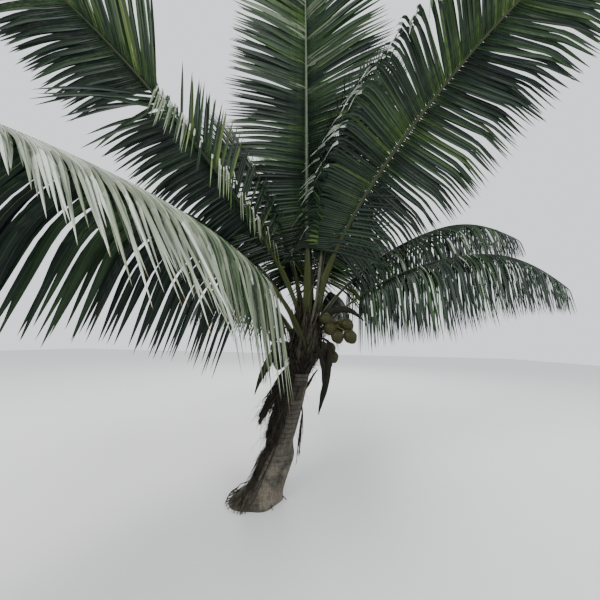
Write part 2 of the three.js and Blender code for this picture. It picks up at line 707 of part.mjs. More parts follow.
function stubSolid(d) {
  const out = vec(Math.cos(rad(d.azimuth)), Math.sin(rad(d.azimuth)), 0);
  const at = (distance, rise) => stemCentre(d.height + rise).addScaledVector(out, distance);
  const path = [at(60, -70), at(112, 0), at(148, 90), at(196, 168)];
  const shape = sweep(path, [52, 44, 30, 16], [14, 16, 12, 6], vec(0, 0, 1), 4, 4);
  return solidOf(shape.points, shape.faces);
}

const rooms = [coreRoom, trunkRoom, ...petioleRooms.values()];
const extras = [];
for (const b of bunchList) {
  extras.push({ name: b.name, solid: clearOf(bunchSolid(b), rooms), colour: NUT, roughness: 0.6 });
}
for (const d of dryList) {
  extras.push({ name: d.name, solid: clearOf(drySolid(d, 0), rooms), colour: d.colour, roughness: 0.9 });
  rooms.push(drySolid(d, DRY_GAP));
}
for (const d of stubList) {
  extras.push({ name: d.name, solid: clearOf(stubSolid(d), rooms), colour: FIBRE, roughness: 1 });
}
for (const e of extras) {
  const data = dataOf(e.solid);
  addNode(e.name, data, e.colour, e.roughness);
  addObstacleChunks(e.name, data, CHUNK);
}

// Leaflets are placed station by station round all fronds, so that none keeps all the room
const leaflets = new Map();
const randoms = new Map(frondList.map((f, i) => [f.name, seeded(401 + 17 * i)]));
for (let i = 0; i < FROND_STATIONS; i += 1) {
  for (const f of frondList) {
    for (const sign of [1, -1]) {
      const leaf = tryLeaflet(f, i, sign, randoms.get(f.name));
      leaflets.set(`${f.name}/${i}/${sign}`, leaf);
      if (leaf) {
        const points = [...leaf.root, ...leaf.points];
        addObstacle(f.name, points, leafletFaces(0, 1, 2, 3, 4, 5, 6, 7), i, sign);
      }
    }
  }
}

// One closed blade from frame "from" to frame "to"
function frondPiece(f, from, to) {
  const list = frames.get(f.name).slice(from, to + 1).map((fr) => ({ ...fr }));
  if (from > 0) {
    list[0].at = list[0].at.clone().addScaledVector(list[0].forward, SEAT_GAP);
  }
  const points = [];
  const faces = [];
  for (const fr of list) {
    const c = corners(fr);
    points.push(c.lowLeft, c.lowRight, c.topRight, c.topLeft);
  }
  const quad = (a, b, c, d) => faces.push([a, b, c], [a, c, d]);
  for (let i = 0; i + 1 < list.length; i += 1) {
    const o = i * 4;
    const n = o + 4;
    quad(o + 3, o + 2, n + 2, n + 3);
    quad(o, n, n + 1, o + 1);
    const station = from + i - PETIOLE_STEPS;
    const right = leaflets.get(`${f.name}/${station}/1`);
    const left = leaflets.get(`${f.name}/${station}/-1`);
    if (right) {
      const k = points.length;
      points.push(...right.points);
      faces.push(...leafletFaces(o + 1, n + 1, n + 2, o + 2, k, k + 1, k + 2, k + 3));
    } else {
      quad(o + 1, n + 1, n + 2, o + 2);
    }
    if (left) {
      const k = points.length;
      points.push(...left.points);
      faces.push(...leafletFaces(n, o, o + 3, n + 3, k, k + 1, k + 2, k + 3));
    } else {
      quad(n, o, o + 3, n + 3);
    }
  }
  const last = (list.length - 1) * 4;
  quad(0, 1, 2, 3);
  quad(last + 3, last + 2, last + 1, last);
  return { points, faces };
}

function trimmed(data, before) {
  return dataOf(clearOf(solidOf(data.points, data.faces), [coreRoom, trunkRoom, ...before]));
}

const before = [];
for (const f of frondList) {
  const count = PETIOLE_STEPS + FROND_STATIONS;
  if (f.split) {
    const at = PETIOLE_STEPS + Math.round(FROND_STATIONS * f.split);
    addNode(`${f.name}_inner`, trimmed(frondPiece(f, 0, at), before), LEAF, 0.55);
    addNode(`${f.name}_outer`, frondPiece(f, at, count), LEAF, 0.55);
  } else {
    addNode(f.name, trimmed(frondPiece(f, 0, count), before), LEAF, 0.55);
  }
  before.push(petioleRooms.get(f.name));
}

export default group;
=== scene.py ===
"""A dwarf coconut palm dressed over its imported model: bark, sheath, fronds, nuts and dry leaves."""

import math
import random
from collections import namedtuple

import bmesh
import bpy
import numpy as np
from mathutils import Matrix, Vector, noise


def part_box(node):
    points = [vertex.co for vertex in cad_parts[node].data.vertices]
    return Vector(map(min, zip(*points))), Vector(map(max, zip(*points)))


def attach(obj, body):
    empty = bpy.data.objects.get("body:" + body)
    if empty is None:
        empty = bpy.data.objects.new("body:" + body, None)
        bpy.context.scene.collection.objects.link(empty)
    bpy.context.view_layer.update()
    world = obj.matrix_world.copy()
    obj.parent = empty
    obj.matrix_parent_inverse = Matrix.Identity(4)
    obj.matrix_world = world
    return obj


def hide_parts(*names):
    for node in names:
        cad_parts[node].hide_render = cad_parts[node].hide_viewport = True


bl_info = {
    "name": "Coconut palm",
    "version": (1, 0, 0),
    "blender": (4, 5, 0),
    "location": "3D View > Sidebar > Palm",
    "description": "Builds a dwarf coconut palm with feather fronds, nuts and dry spathes",
    "category": "Add Mesh",
}

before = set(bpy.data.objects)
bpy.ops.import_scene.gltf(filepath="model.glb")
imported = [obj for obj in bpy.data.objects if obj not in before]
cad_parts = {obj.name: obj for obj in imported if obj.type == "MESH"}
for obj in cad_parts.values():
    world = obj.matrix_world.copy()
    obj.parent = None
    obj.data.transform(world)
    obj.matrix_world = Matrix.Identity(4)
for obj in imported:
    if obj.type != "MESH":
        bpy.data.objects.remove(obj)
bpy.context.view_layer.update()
BODY = "root"
UP = Vector((0, 0, 1))
ACROSS = Vector((1, 0, 0))
AWAY = Vector((0, 1, 0))
SEEDS = {"roots": 11, "sheath": 5, "dry sheaths": 17, "dead leaves": 29, "spear": 31, "nuts": 40,
         "leaflets": 100}

# Trunk, in metres
TRUNK_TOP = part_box("trunk")[1].z
LEAN_REACH = 0.972
LEAN_HEIGHT = 2.03
BOLE_RADIUS = 0.168
STEM_RADIUS = 0.104
BOLE_HEIGHT = 0.44
BOLE_BLEND = 0.095
FLARE_HEIGHT = 0.062
FLARE_ALL_ROUND = 0.042
FLARE_LEFT = 0.095
FLARE_LEFT_AZIMUTH = 196
FLARE_LOBES = 5
FLARE_LOBE_DEPTH = 0.012
TRUNK_RINGS = 44
RING_CROWDING = 1.2
EVEN_FOOT = 0.012
EVEN_TOP = 0.01
RIM_SHARE = 0.93
ROOTS = 26
ROOT_SPREAD = 62
ROOT_THINNING = 0.45
ROOT_LEFT_END = -0.318

# Bark: heights in metres, and places and widths in shares of the space between two scars
WORN_BELOW = 0.5
WORN_BLEND = 0.16
LOW_SPACING_SHARE = 0.62
SCAR_WANDER = 0.005
SCAR_AT = 0.5
SCAR_WIDTH = 0.085
LIP_AT = 0.68
LIP_WIDTH = 0.1
LIP_HEIGHT = 0.002
CRACK_WIDTH = 0.10
FLAKE_HEIGHT = 0.0022
PATCH_HEIGHT = 0.004
MIDDLE_LIGHT = 0.52
END_LIGHT = 0.4

# Sheath of matted leaf bases
CORE_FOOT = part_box("crown_fibre")[0].z
CORE_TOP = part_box("crown_fibre")[1].z
CORE_FOOT_RADIUS = 0.122
CORE_BELLY_RADIUS = 0.172
CORE_BELLY_AT = 0.3
CORE_TOP_RADIUS = 0.034
CORE_RINGS = 40
CORE_LIFT = 0.0005
CORE_SUNK = 0.006
FOLD_DEPTH = 0.012
CORD_DEPTH = 0.004
WOVEN_THICKNESS = 0.0024
STRIP_THICKNESS = 0.0022
TATTER_THICKNESS = 0.0018
SHRED_THICKNESS = 0.0016

# Ribs and petioles: shares of the whole length, sizes in metres and leaflet angles in degrees
PETIOLE_SHARE = 0.17
PETIOLE_PLACES = 0.45
STATION_POWER = 0.94
NOD_FROM = 0.55
SWEEP_ENDS = 0.7
RIB_PLACES = (0, 0.12, 0.3, 0.45, 0.7, 1)
RIB_WIDTHS = (0.135, 0.105, 0.078, 0.046, 0.030, 0.010)
RIB_HEIGHTS = (0.060, 0.048, 0.038, 0.030, 0.022, 0.008)
LEAFLET_FOOT_SHARE = 0.7
LEAFLET_ANGLES = (114, 88, 68, 53, 41, 28)
RIB_STATIONS = 56
RIB_CROWDING = 1.15
LINE_SAMPLES = 481


def smooth(t):
    """Eases from 0 to 1."""
    c = np.clip(t, 0.0, 1.0)
    return c * c * (3 - 2 * c)


def lerp(a, b, t):
    return a + (b - a) * t


def steps(values, t):
    """Straight runs between evenly spaced values."""
    return np.interp(t, np.linspace(0, 1, len(values)), values)


def stem_centre(z):
    """Middle line of the leaning stem at a height."""
    return Vector((LEAN_REACH * z / (z + LEAN_HEIGHT), 0, z))


def spoke(azimuth):
    """A level direction at an azimuth in degrees."""
    a = math.radians(azimuth)
    return Vector((math.cos(a), math.sin(a), 0))


# Meshes


def select_only(*pieces):
    """Leaves edit mode and selects these pieces alone, with the first of them active."""
    if bpy.context.mode != "OBJECT":
        bpy.ops.object.mode_set(mode="OBJECT")
    bpy.ops.object.select_all(action="DESELECT")
    for piece in pieces:
        piece.select_set(True)
    if pieces:
        bpy.context.view_layer.objects.active = pieces[0]


def settle(piece, name, slot, materials, *nodes):
    """Names a finished piece, gives it its materials and ties it to the palm."""
    select_only(piece)
    bpy.ops.object.transform_apply(location=True, rotation=True, scale=True)
    piece.name = name
    piece.data.name = name
    for material in materials:
        piece.data.materials.append(material)
    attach(piece, BODY)
    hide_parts(*nodes)
    piece.select_set(False)


def shade(piece, degrees):
    """Smooth shading that keeps the edges sharper than an angle."""
    select_only(piece)
    bpy.ops.object.shade_smooth_by_angle(angle=math.radians(degrees))


def join(pieces):
    """Joins pieces into the first of them."""
    select_only(*pieces)
    bpy.ops.object.join()
    return bpy.context.active_object


def subdivide(piece, levels, kind="CATMULL_CLARK"):
    """Finishes a piece with a Subdivision Surface."""
    select_only(piece)
    bpy.ops.object.modifier_add(type="SUBSURF")
    modifier = piece.modifiers[-1]
    modifier.subdivision_type = kind
    modifier.levels = modifier.render_levels = levels
    bpy.ops.object.modifier_apply(modifier=modifier.name)


Station = namedtuple("Station", "at side up width height")


def circle(sides):
    """Points round a circle of radius 1."""
    angles = [math.radians(360 / sides * k) for k in range(sides)]
    return [(math.cos(a), math.sin(a)) for a in angles]


# Outlines that are drawn out along a piece
ROUND = circle(12)
HALF_ROUND = [(x, y * (0.45 if y > 0 else 1)) for x, y in ROUND]
BOAT = [(x, y if y < 0 else y * 0.4 - 0.75 * (1 - abs(x)) ** 0.8) for x, y in ROUND]
PLEATS = [(x, y) if k % 2 else (x * 0.72, y * 0.6) for k, (x, y) in enumerate(circle(16))]
LOBES = [(x, y) if k % 4 else (x * 0.74, y * 0.74) for k, (x, y) in enumerate(ROUND)]


def basis(station):
    """Side, up and back as the columns of a right-handed matrix."""
    return Matrix((station.side, station.up, station.side.cross(station.up))).transposed()


def turn_selection(rotation, centre):
    """Turns what is selected about a point, one world axis after the other."""
    for axis, angle in zip("XYZ", rotation.to_euler("XYZ")):
        bpy.ops.transform.rotate(value=-angle, orient_axis=axis, center_override=tuple(centre))


def extruded(stations, outline=ROUND):
    """A closed outline drawn out, turned and sized from station to station."""
    select_only()
    bpy.ops.mesh.primitive_circle_add(vertices=len(outline), radius=1, fill_type="NGON")
    piece = bpy.context.active_object
    for vertex, (x, y) in zip(piece.data.vertices, outline):
        vertex.co = (x, y, 0)
    first = stations[0]
    bpy.ops.object.mode_set(mode="EDIT")
    bpy.ops.mesh.select_all(action="SELECT")
    bpy.ops.transform.resize(value=(first.width / 2, first.height / 2, 1), center_override=(0, 0, 0))
    turn_selection(basis(first).to_quaternion(), (0, 0, 0))
    bpy.ops.transform.translate(value=tuple(first.at))
    for last, here in zip(stations, stations[1:]):
        bpy.ops.mesh.extrude_region_move(TRANSFORM_OT_translate={"value": tuple(here.at - last.at)})
        turn_selection((basis(here) @ basis(last).transposed()).to_quaternion(), here.at)
        grow = (here.width / last.width, here.height / last.height, 1)
        axes = tuple(tuple(column) for column in basis(here).transposed())
        bpy.ops.transform.resize(
            value=grow, orient_type="GLOBAL", orient_matrix=axes, orient_matrix_type="GLOBAL",
            center_override=tuple(here.at),
        )
    bpy.ops.mesh.select_all(action="SELECT")
    bpy.ops.mesh.normals_make_consistent(inside=False)
    bpy.ops.object.mode_set(mode="OBJECT")
    return piece


def curve_points(points, count):
    """Evenly run points of a smooth curve through a few chosen ones, with their directions."""
    p = np.array([tuple(q) for q in points], float)
    p = np.vstack([2 * p[0] - p[1], p, 2 * p[-1] - p[-2]])
    fine = []
    for i in range(1, len(p) - 2):
        for t in np.linspace(0, 1, 24, endpoint=False):
            a, b, c, d = p[i - 1], p[i], p[i + 1], p[i + 2]
            fine.append(0.5 * (2 * b + (c - a) * t + (2 * a - 5 * b + 4 * c - d) * t ** 2
                               + (3 * b - a - 3 * c + d) * t ** 3))
    fine.append(p[-2])
    fine = np.array(fine)
    run = np.concatenate([[0], np.cumsum(np.linalg.norm(np.diff(fine, axis=0), axis=1))])
    even = np.linspace(0, run[-1], count)
    at = np.stack([np.interp(even, run, fine[:, k]) for k in range(3)], 1)
    forward = np.gradient(at, axis=0)
    forward /= np.linalg.norm(forward, axis=1)[:, None]
    return [Vector(a) for a in at], [Vector(f) for f in forward]


def blade_stations(points, face, widths, heights, count):
    """Stations of a long piece whose broad side looks along "face"."""
    at, forward = curve_points(points, count)
    stations = []
    for i, (a, f) in enumerate(zip(at, forward)):
        t = i / (count - 1)
        side = Vector(face).cross(f).normalized()
        up = f.cross(side)
        stations.append(Station(a, side, up, 2 * float(steps(widths, t)), 2 * float(steps(heights, t))))
    return stations


def mesh_piece(points, faces, kinds=None):
    """An object made from arrays, for many small things joined together."""
    mesh = bpy.data.meshes.new("small_things")
    mesh.from_pydata(np.asarray(points).tolist(), [], faces)
    if kinds is not None:
        mesh.polygons.foreach_set("material_index", np.asarray(kinds, dtype=np.int32))
    mesh.update()
    piece = bpy.data.objects.new("small_things", mesh)
    bpy.context.scene.collection.objects.link(piece)
    return piece


# Shader maths, with the places of sockets that share a name
MIX_COLOUR_INPUTS = (0, 6, 7)
MIX_COLOUR_OUTPUT = 2
OBJECT_COORDINATES = 3
ATTRIBUTE_NUMBER = 2
HEIGHT_OF_XYZ = 2


class Value:
    """A number that varies over a surface; sums with it add Math nodes."""

    def __init__(self, shader, socket):
        self.shader = shader
        self.socket = socket

    def math(self, operation, *others):
        return self.shader.node("ShaderNodeMath", {"operation": operation}, self, *others)

    def __add__(self, other):
        return self.math("ADD", other)

    def __rsub__(self, other):
        return self.shader.node("ShaderNodeMath", {"operation": "SUBTRACT"}, other, self)

    def __mul__(self, other):
        return self.math("MULTIPLY", other)

    def clamped(self, low, high):
        """This value's run from low to high, as 0 to 1."""
        return self.shader.node("ShaderNodeMapRange", {"clamp": True}, self, low, high, 0.0, 1.0)


class Shader:
    """A material whose nodes are added by expressions."""

    def __init__(self, name, roughness, specular):
        self.material = bpy.data.materials.new(name)
        self.material.use_nodes = True
        self.tree = self.material.node_tree
        self.surface = self.tree.nodes["Principled BSDF"]
        self.surface.inputs["Roughness"].default_value = roughness
        self.surface.inputs["Specular IOR Level"].default_value = specular

    def feed(self, socket, value):
        """Links or sets a socket; a plain colour is given its alpha."""
        if isinstance(value, Value):
            self.tree.links.new(value.socket, socket)
        elif socket.type == "RGBA":
            socket.default_value = (*value, 1)
        else:
            socket.default_value = value

    def node(self, kind, settings, *inputs, output=0, **named):
        """Adds a node: its settings first, then the values or links of its sockets."""
        made = self.tree.nodes.new(kind)
        for key, value in settings.items():
            if key == "stops":
                self.set_stops(made.color_ramp, value)
            else:
                setattr(made, key, value)
        for socket, value in zip(made.inputs, inputs):
            self.feed(socket, value)
        for key, value in named.items():
            self.feed(made.inputs[key.replace("_", " ").title()], value)
        return Value(self, made.outputs[output])

    @staticmethod
    def set_stops(ramp, stops):
        while len(ramp.elements) < len(stops):
            ramp.elements.new(0.5)
        for element, (place, colour) in zip(ramp.elements, stops):
            element.position = place
            element.color = (*colour, 1)

    def place(self, scale=(1, 1, 1)):
        """The piece's own coordinates, stretched."""
        coordinates = self.node("ShaderNodeTexCoord", {}, output=OBJECT_COORDINATES)
        return self.node("ShaderNodeMapping", {}, vector=coordinates, scale=scale)

    def noise(self, scale, stretch=(1, 1, 1), detail=4.0, roughness=0.55):
        return self.node("ShaderNodeTexNoise", {}, vector=self.place(stretch), scale=scale,
                         detail=detail, roughness=roughness)

    def attribute(self, name):
        return self.node("ShaderNodeAttribute", {"attribute_name": name}, output=ATTRIBUTE_NUMBER)

    def ramp(self, value, *stops):
        return self.node("ShaderNodeValToRGB", {"stops": stops}, value)

    def mix(self, share, first, second):
        """One colour laid over another."""
        made = self.tree.nodes.new("ShaderNodeMix")
        made.data_type = "RGBA"
        for place, value in zip(MIX_COLOUR_INPUTS, (share, first, second)):
            self.feed(made.inputs[place], value)
        return Value(self, made.outputs[MIX_COLOUR_OUTPUT])

    def colour(self, value):
        self.feed(self.surface.inputs["Base Color"], value)

    def rough(self, value):
        self.feed(self.surface.inputs["Roughness"], value)

    def bump(self, height, strength, distance):
        normal = self.node("ShaderNodeBump", {}, height=height, strength=strength, distance=distance)
        self.feed(self.surface.inputs["Normal"], normal)
        return self.material


# Fronds
# A habit says how the leaflets of one side grow. "lift" raises their roots, "droop" pulls their ends
# down past the "knee", "angles" turn them from the rib's direction, from foot to tip, and most of those
# within "fold" have broken over and hang. "long" scales their lengths, and "short" is how much the ones
# past "short_from" have lost. Within "torn" most are lost and the rest hang askew. "tones" gives
# the share of each leaf tone, "paling" how much paler they grow outward, which is painted light: darker
# near the crown's shade and brighter with sheen further out. "glints" is the share whose bent-over part
# carries a painted glint. "slim" narrows them, "more" sets them closer, "wild" is how unevenly they lie,
# "pleat" is their least fold in degrees and "ragged" how much their lengths differ.
Habit = namedtuple("Habit", "lift droop knee angles fold torn long short short_from tones paling glints"
                   " slim more wild pleat ragged",
                   defaults=(LEAFLET_ANGLES, None, None, 1, 0, 0.34, "plain", 0, 0, 1, 1, 1, 0, 0.07))
Frond = namedtuple("Frond", "name at azimuth rise bend power sweep nod length roll leaf right left foot",
                   defaults=(None, LEAFLET_FOOT_SHARE))

TONE_SHARES = {
    "plain": (0.20, 0.37, 0.30, 0.09, 0.02, 0.02, 0.0),
    "sombre": (0.50, 0.38, 0.08, 0.0, 0.0, 0.02, 0.02),
    # Painted glare: a share of the two sheen tones laid over a frond's upper part
    "hazy": (0.17, 0.29, 0.23, 0.08, 0.0, 0.19, 0.04),
    "dark": (0.33, 0.42, 0.20, 0.05, 0.0, 0.0, 0.0),
    "mossy": (0.12, 0.26, 0.28, 0.21, 0.11, 0.02, 0.0),
    # Painted sheen: mostly the two sheen tones, over a glossy sheet of leaflets
    "silvery": (0.0, 0.03, 0.04, 0.0, 0.0, 0.27, 0.66),
}
STEEP_ANGLES = (104, 80, 66, 53, 41, 28)
SPREADING = Habit(4, 0.25, 0.55, slim=1.15, more=1.2, wild=0.8)
ARCHING = Habit(-8, 0.8, 0.45, slim=1.2, more=1.15, wild=0.8)
DROOPING = Habit(-40, 4.5, 0.2, tones="sombre", glints=0.04, slim=0.78)
HANGING = Habit(-36, 2.2, 0.3, tones="dark", slim=1.1)
LIMP = Habit(-50, 8, 0.12, tones="sombre", glints=0.08, slim=0.6, more=1.15)

FRONDS = (
    Frond("frond_front_upright", (-22, -40, 1740), -98.8, 79.7, 13.8, 2.3, 1.3, 8, 4.8, 0, 1,
          Habit(4, 0.15, 0.55, STEEP_ANGLES, tones="hazy", paling=0.8, slim=0.9, more=1.6, wild=0.7),
          Habit(4, 0.15, 0.55, STEEP_ANGLES, tones="hazy", paling=1.0, glints=0.1, slim=0.9, more=1.6,
                wild=0.7), foot=0.9),
    Frond("frond_right_high", (52, -50, 1740), -32, 90, 62, 0.46, -3.9, 20, 4.9, -48, 1,
          Habit(4, 2.2, 0.6, tones="mossy", paling=0.7, glints=0.3, slim=0.7, more=1.7, wild=0.7),
          Habit(4, 0.6, 0.64, tones="dark", paling=0.5, slim=0.8, more=1.5, wild=0.8)),
    Frond("frond_left_high", (-115, -20, 1780), -168.9, 80.6, 51.6, 0.45, 32.5, 20, 4.9, 40, 1,
          Habit(2, 0.35, 0.6, (95, 74, 62, 52, 41, 28), torn=(0.41, 0.485), tones="dark", paling=0.7,
                more=1.6, wild=0.6),
          Habit(14, 0.1, 0.6, (68, 54, 49, 38, 28, 20), fold=(0.0, 0.46), tones="mossy", paling=0.25,
                glints=0.3, slim=0.75, more=1.6)),
    Frond("frond_left_low", (-15, -120, 1420), -146.2, 90, 125, 0.51, 25, 10, 4.7, 0, 1.24,
          Habit(-48, 2.0, 0.4, (96, 76, 60, 54, 48, 40), tones="plain", paling=0.7),
          Habit(-34, (0.8, 0.35, 0.3, 0.3), 0.5, (88, 96, 101, 103, 100, 88), long=1.18, short=0.72,
                tones="silvery", paling=1.5, slim=0.72, more=2.3, wild=0.3, pleat=52, ragged=0.3),
          foot=0.93),
    Frond("frond_right_low", (92, -18, 1570), 8, 54, 62, 0.67, 7, 22, 4.4, 0, 1, LIMP),
    Frond("frond_right_rear", (86, 32, 1690), 23, 66, 54, 0.5, -11, 26, 4.5, 0, 0.95, DROOPING),
    Frond("frond_rear_upright", (58, 40, 1830), 20, 83, 24, 1.1, 6, 12, 4.6, -36, 0.97, SPREADING),
    Frond("frond_rear_right_mid", (62, 100, 1620), 56, 74, 72, 0.8, 8, 20, 4.5, 12, 0.97, ARCHING),
    Frond("frond_rear_right_low", (52, 92, 1420), 72, 62, 74, 0.6, 10, 22, 4.3, 0, 0.93, HANGING),
    Frond("frond_rear_high", (-6, 72, 1810), 88, 84, 42, 1, 8, 14, 4.6, 14, 0.97, SPREADING),
    Frond("frond_rear_mid", (-34, 112, 1620), 108, 72, 66, 0.8, 6, 18, 4.5, -12, 0.97, ARCHING),
    Frond("frond_rear_left_low", (-62, 92, 1420), 128, 62, 74, 0.6, 8, 22, 4.3, 0, 0.93, HANGING),
    Frond("frond_rear_left_high", (-84, 44, 1790), 142, 82, 50, 0.9, 10, 16, 4.5, 20, 0.95, SPREADING),
    Frond("frond_left_rear_mid", (-118, 52, 1630), 162, 70, 70, 0.75, 4, 20, 4.4, 0, 0.95, ARCHING),
)

# Leaflets: where they leave the rib, how they bend, twist and fold, and sizes from foot to tip
ROOT_OUT = 0.40
ROOT_UP = 0.12
LONGEST_AT = 0.3
END_LOSS = 0.6
END_POWER = 2.2
SHORT_BLEND = 0.24
BUNCHED_AT_FOOT = 0.35
BUNCHED_FROM = 0.6
BROAD_AT = (0, 0.08, 0.2, 0.75, 1)
BROAD_SHARE = (0.62, 0.85, 1, 0.92, 0.5)
KNEE_SPREAD = 0.035
STIFF_KNEE = 0.6
STIFF_BEND = 0.10
LIMP_BEND = 0.22
SNAPPED_BEND = 0.05
TWIST_SPREAD = 10
TWIST_DRIFT = 9
LIMP_TWIST = 26
FOLD_KNEE = 0.18
FOLD_DROOP = 3.5
FOLD_LENGTH = 0.57
SNAPPED_AT = (0, 0.18, 0.22, 0.36, 0.40)
SNAPPED_SHARE = (0.60, 0.60, 0.45, 0.45, 0.97)
TORN_KEPT = 0.5
SNAPPED_WIDTH = 0.5
# A blade's rings of points, its width and the degrees of its fold, from root to end
RINGS = (0, 0.02, 0.06, 0.13, 0.22, 0.31, 0.40, 0.49, 0.58, 0.67, 0.76, 0.84, 0.91, 0.96, 1)
WIDTH_AT = (0, 0.02, 0.06, 0.13, 0.24, 0.42, 0.60, 0.76, 0.90, 0.96, 1)
WIDTH_OF = (0.80, 0.90, 0.97, 1.0, 1.0, 0.96, 0.82, 0.58, 0.29, 0.13, 0)
FOLD_AT = (0, 0.06, 0.2, 0.5, 1)
FOLD_OF = (55, 41, 28, 20, 10)
RING_POINTS = 5


def axes_at(f, share):
    """Forward, up and side of a rib at shares of its length."""
    share = np.asarray(share, float)
    nod = f.nod * smooth((share - NOD_FROM) / (1 - NOD_FROM))
    rise = np.radians(f.rise - f.bend * share ** f.power - nod)
    azimuth = np.radians(f.azimuth + f.sweep * np.minimum(share, SWEEP_ENDS))
    roll = np.radians(f.roll) * smooth(share / PETIOLE_SHARE)
    flat = np.zeros_like(share)
    forward = np.stack([np.cos(azimuth) * np.cos(rise), np.sin(azimuth) * np.cos(rise), np.sin(rise)], -1)
    sky = np.stack([-np.cos(azimuth) * np.sin(rise), -np.sin(azimuth) * np.sin(rise), np.cos(rise)], -1)
    level = np.stack([np.sin(azimuth), -np.cos(azimuth), flat], -1)
    c, s = np.cos(roll)[..., None], np.sin(roll)[..., None]
    return forward, sky * c + level * s, level * c - sky * s


def rib_line(f):
    """Places along a rib, at even shares of its length."""
    share = np.linspace(0, 1, LINE_SAMPLES)
    middle = (share[1:] + share[:-1]) / 2
    run = axes_at(f, middle)[0] * f.length / (LINE_SAMPLES - 1)
    x, y, z = (v / 1000 for v in f.at)
    foot = np.array(stem_centre(z) + Vector((x, y, 0)))
    return share, foot + np.vstack([np.zeros(3), np.cumsum(run, axis=0)])


def on_line(line, share):
    places = line[1]
    return np.stack([np.interp(share, line[0], places[:, k]) for k in range(3)], -1)


def rib_place(share):
    """Where a share of the length falls in the table of rib sizes."""
    petiole = np.clip(share / PETIOLE_SHARE, 0, 1)
    leafy = np.clip((share - PETIOLE_SHARE) / (1 - PETIOLE_SHARE), 0, 1)
    return np.where(share <= PETIOLE_SHARE, petiole * PETIOLE_PLACES, lerp(PETIOLE_PLACES, 1, leafy))


def rib_width(place):
    return np.interp(place, RIB_PLACES, RIB_WIDTHS)


def rib_height(place):
    return np.interp(place, RIB_PLACES, RIB_HEIGHTS)


def rib_piece(f, line):
    """Petiole and rib in one: broad at the stem, with a low rounded top, and fine at the tip."""
    stations = []
    for i in range(RIB_STATIONS):
        share = (i / (RIB_STATIONS - 1)) ** RIB_CROWDING
        up, side = (Vector(v) for v in axes_at(f, share)[1:])
        place = float(rib_place(share))
        width, height = float(rib_width(place)), float(rib_height(place))
        stations.append(Station(Vector(on_line(line, share)), side, up, width, height))
    piece = extruded(stations, HALF_ROUND)
    along = piece.data.attributes.new("along", "FLOAT", "POINT")
    where = [min(range(0, LINE_SAMPLES, 6), key=lambda k: (v.co - Vector(line[1][k])).length_squared)
             for v in piece.data.vertices]
    along.data.foreach_set("value", [k / (LINE_SAMPLES - 1) for k in where])
    shade(piece, 50)
    return piece


def unit(v):
    return v / np.maximum(np.linalg.norm(v, axis=-1, keepdims=True), 1e-9)


def drift(rng, where, knots, size):
    """A slow random change along a frond."""
    return size * np.interp(where, np.linspace(0, 1, knots), rng.uniform(-1, 1, knots))


def bunching(rng, where, count):
    """How far each leaflet leans toward the middle of its clump, from -1 to 1."""
    clump_ends = np.cumsum(rng.uniform(1.6, 4.6, count))
    clump_ends = clump_ends / clump_ends[-1]
    k = np.searchsorted(clump_ends, where)
    k = np.clip(k, 0, count - 1)
    low = np.where(k > 0, clump_ends[k - 1], 0)
    return 1 - 2 * (where - low) / np.maximum(clump_ends[k] - low, 1e-6)


def between(u, ends):
    return (u > ends[0]) & (u < ends[1])


def leaflet_places(habit, sign, settings, rng):
    """Where the leaflets of one side stand, 0 at the foot and 1 at the tip, and which are torn."""
    n = round(settings.leaflets_a_side * habit.more)
    u = (np.arange(n) + 0.5 + 0.25 * sign + rng.uniform(-0.16, 0.16, n) * habit.wild) / n
    u = np.clip(u, 0.002, 0.998)
    torn = np.zeros(n, bool)
    if habit.torn:
        torn = between(u, habit.torn)
        kept = ~torn | (rng.random(n) < TORN_KEPT)
        u, torn = u[kept], torn[kept]
    return u, torn


def leaflet_directions(habit, u, torn, axes, settings, rng):
    """The way each leaflet leaves the rib."""
    forward, up, side = axes
    n = len(u)
    lean = bunching(rng, u, n // 3) * settings.bunching
    lean = lean * lerp(BUNCHED_AT_FOOT, 1, smooth(u / BUNCHED_FROM))
    turn = steps(habit.angles, u) + (drift(rng, u, 14, 3.5) - lean + rng.normal(0, 1.3, n)) * habit.wild
    lift = habit.lift + (drift(rng, u, 12, 4) + rng.normal(0, 2.2, n)) * habit.wild
    turn = turn + rng.normal(6, 12, n) * torn
    lift = lift - rng.uniform(0, 50, n) * torn
    turn, lift = np.radians(turn)[:, None], np.radians(lift)[:, None]
    sideways, upward = np.sin(turn) * np.cos(lift), np.sin(turn) * np.sin(lift)
    return unit(forward * np.cos(turn) + side * sideways + up * upward)


def leaflet_sizes(f, habit, u, snapped, settings, rng):
    """Length and width of each leaflet."""
    n = len(u)
    rising = lerp(f.foot, 1, smooth(u / LONGEST_AT))
    falling = 1 - END_LOSS * np.maximum((u - LONGEST_AT) / (1 - LONGEST_AT), 0) ** END_POWER
    share = np.where(u < LONGEST_AT, rising, falling)
    share = share * habit.long * (1 - habit.short * smooth((u - habit.short_from) / SHORT_BLEND))
    if habit.fold:
        share = np.where(between(u, habit.fold), share * FOLD_LENGTH, share)
    length = settings.leaflet_length * f.leaf * share * rng.uniform(1 - habit.ragged, 1.04, n)
    width = settings.leaflet_width * habit.slim * lerp(1, f.leaf, 0.6) * rng.uniform(0.9, 1.08, n)
    width = np.where(snapped, width * SNAPPED_WIDTH, width)
    return length, width * np.interp(u, BROAD_AT, BROAD_SHARE)


def ring_of(at, across, crest, half, fold, t):
    """Points round each folded blade: edge, fold, edge and both sides of the midrib below it."""
    edge = across * half * math.cos(fold)
    fall = crest * half * math.sin(fold)
    strip = across * lerp(0.0022, 0.0006, min(1, t * 1.3))
    below = crest * lerp(0.0022, 0.0008, t)
    return np.stack([at + edge - fall, at, at - edge - fall, at - strip - below, at + strip - below], 1)


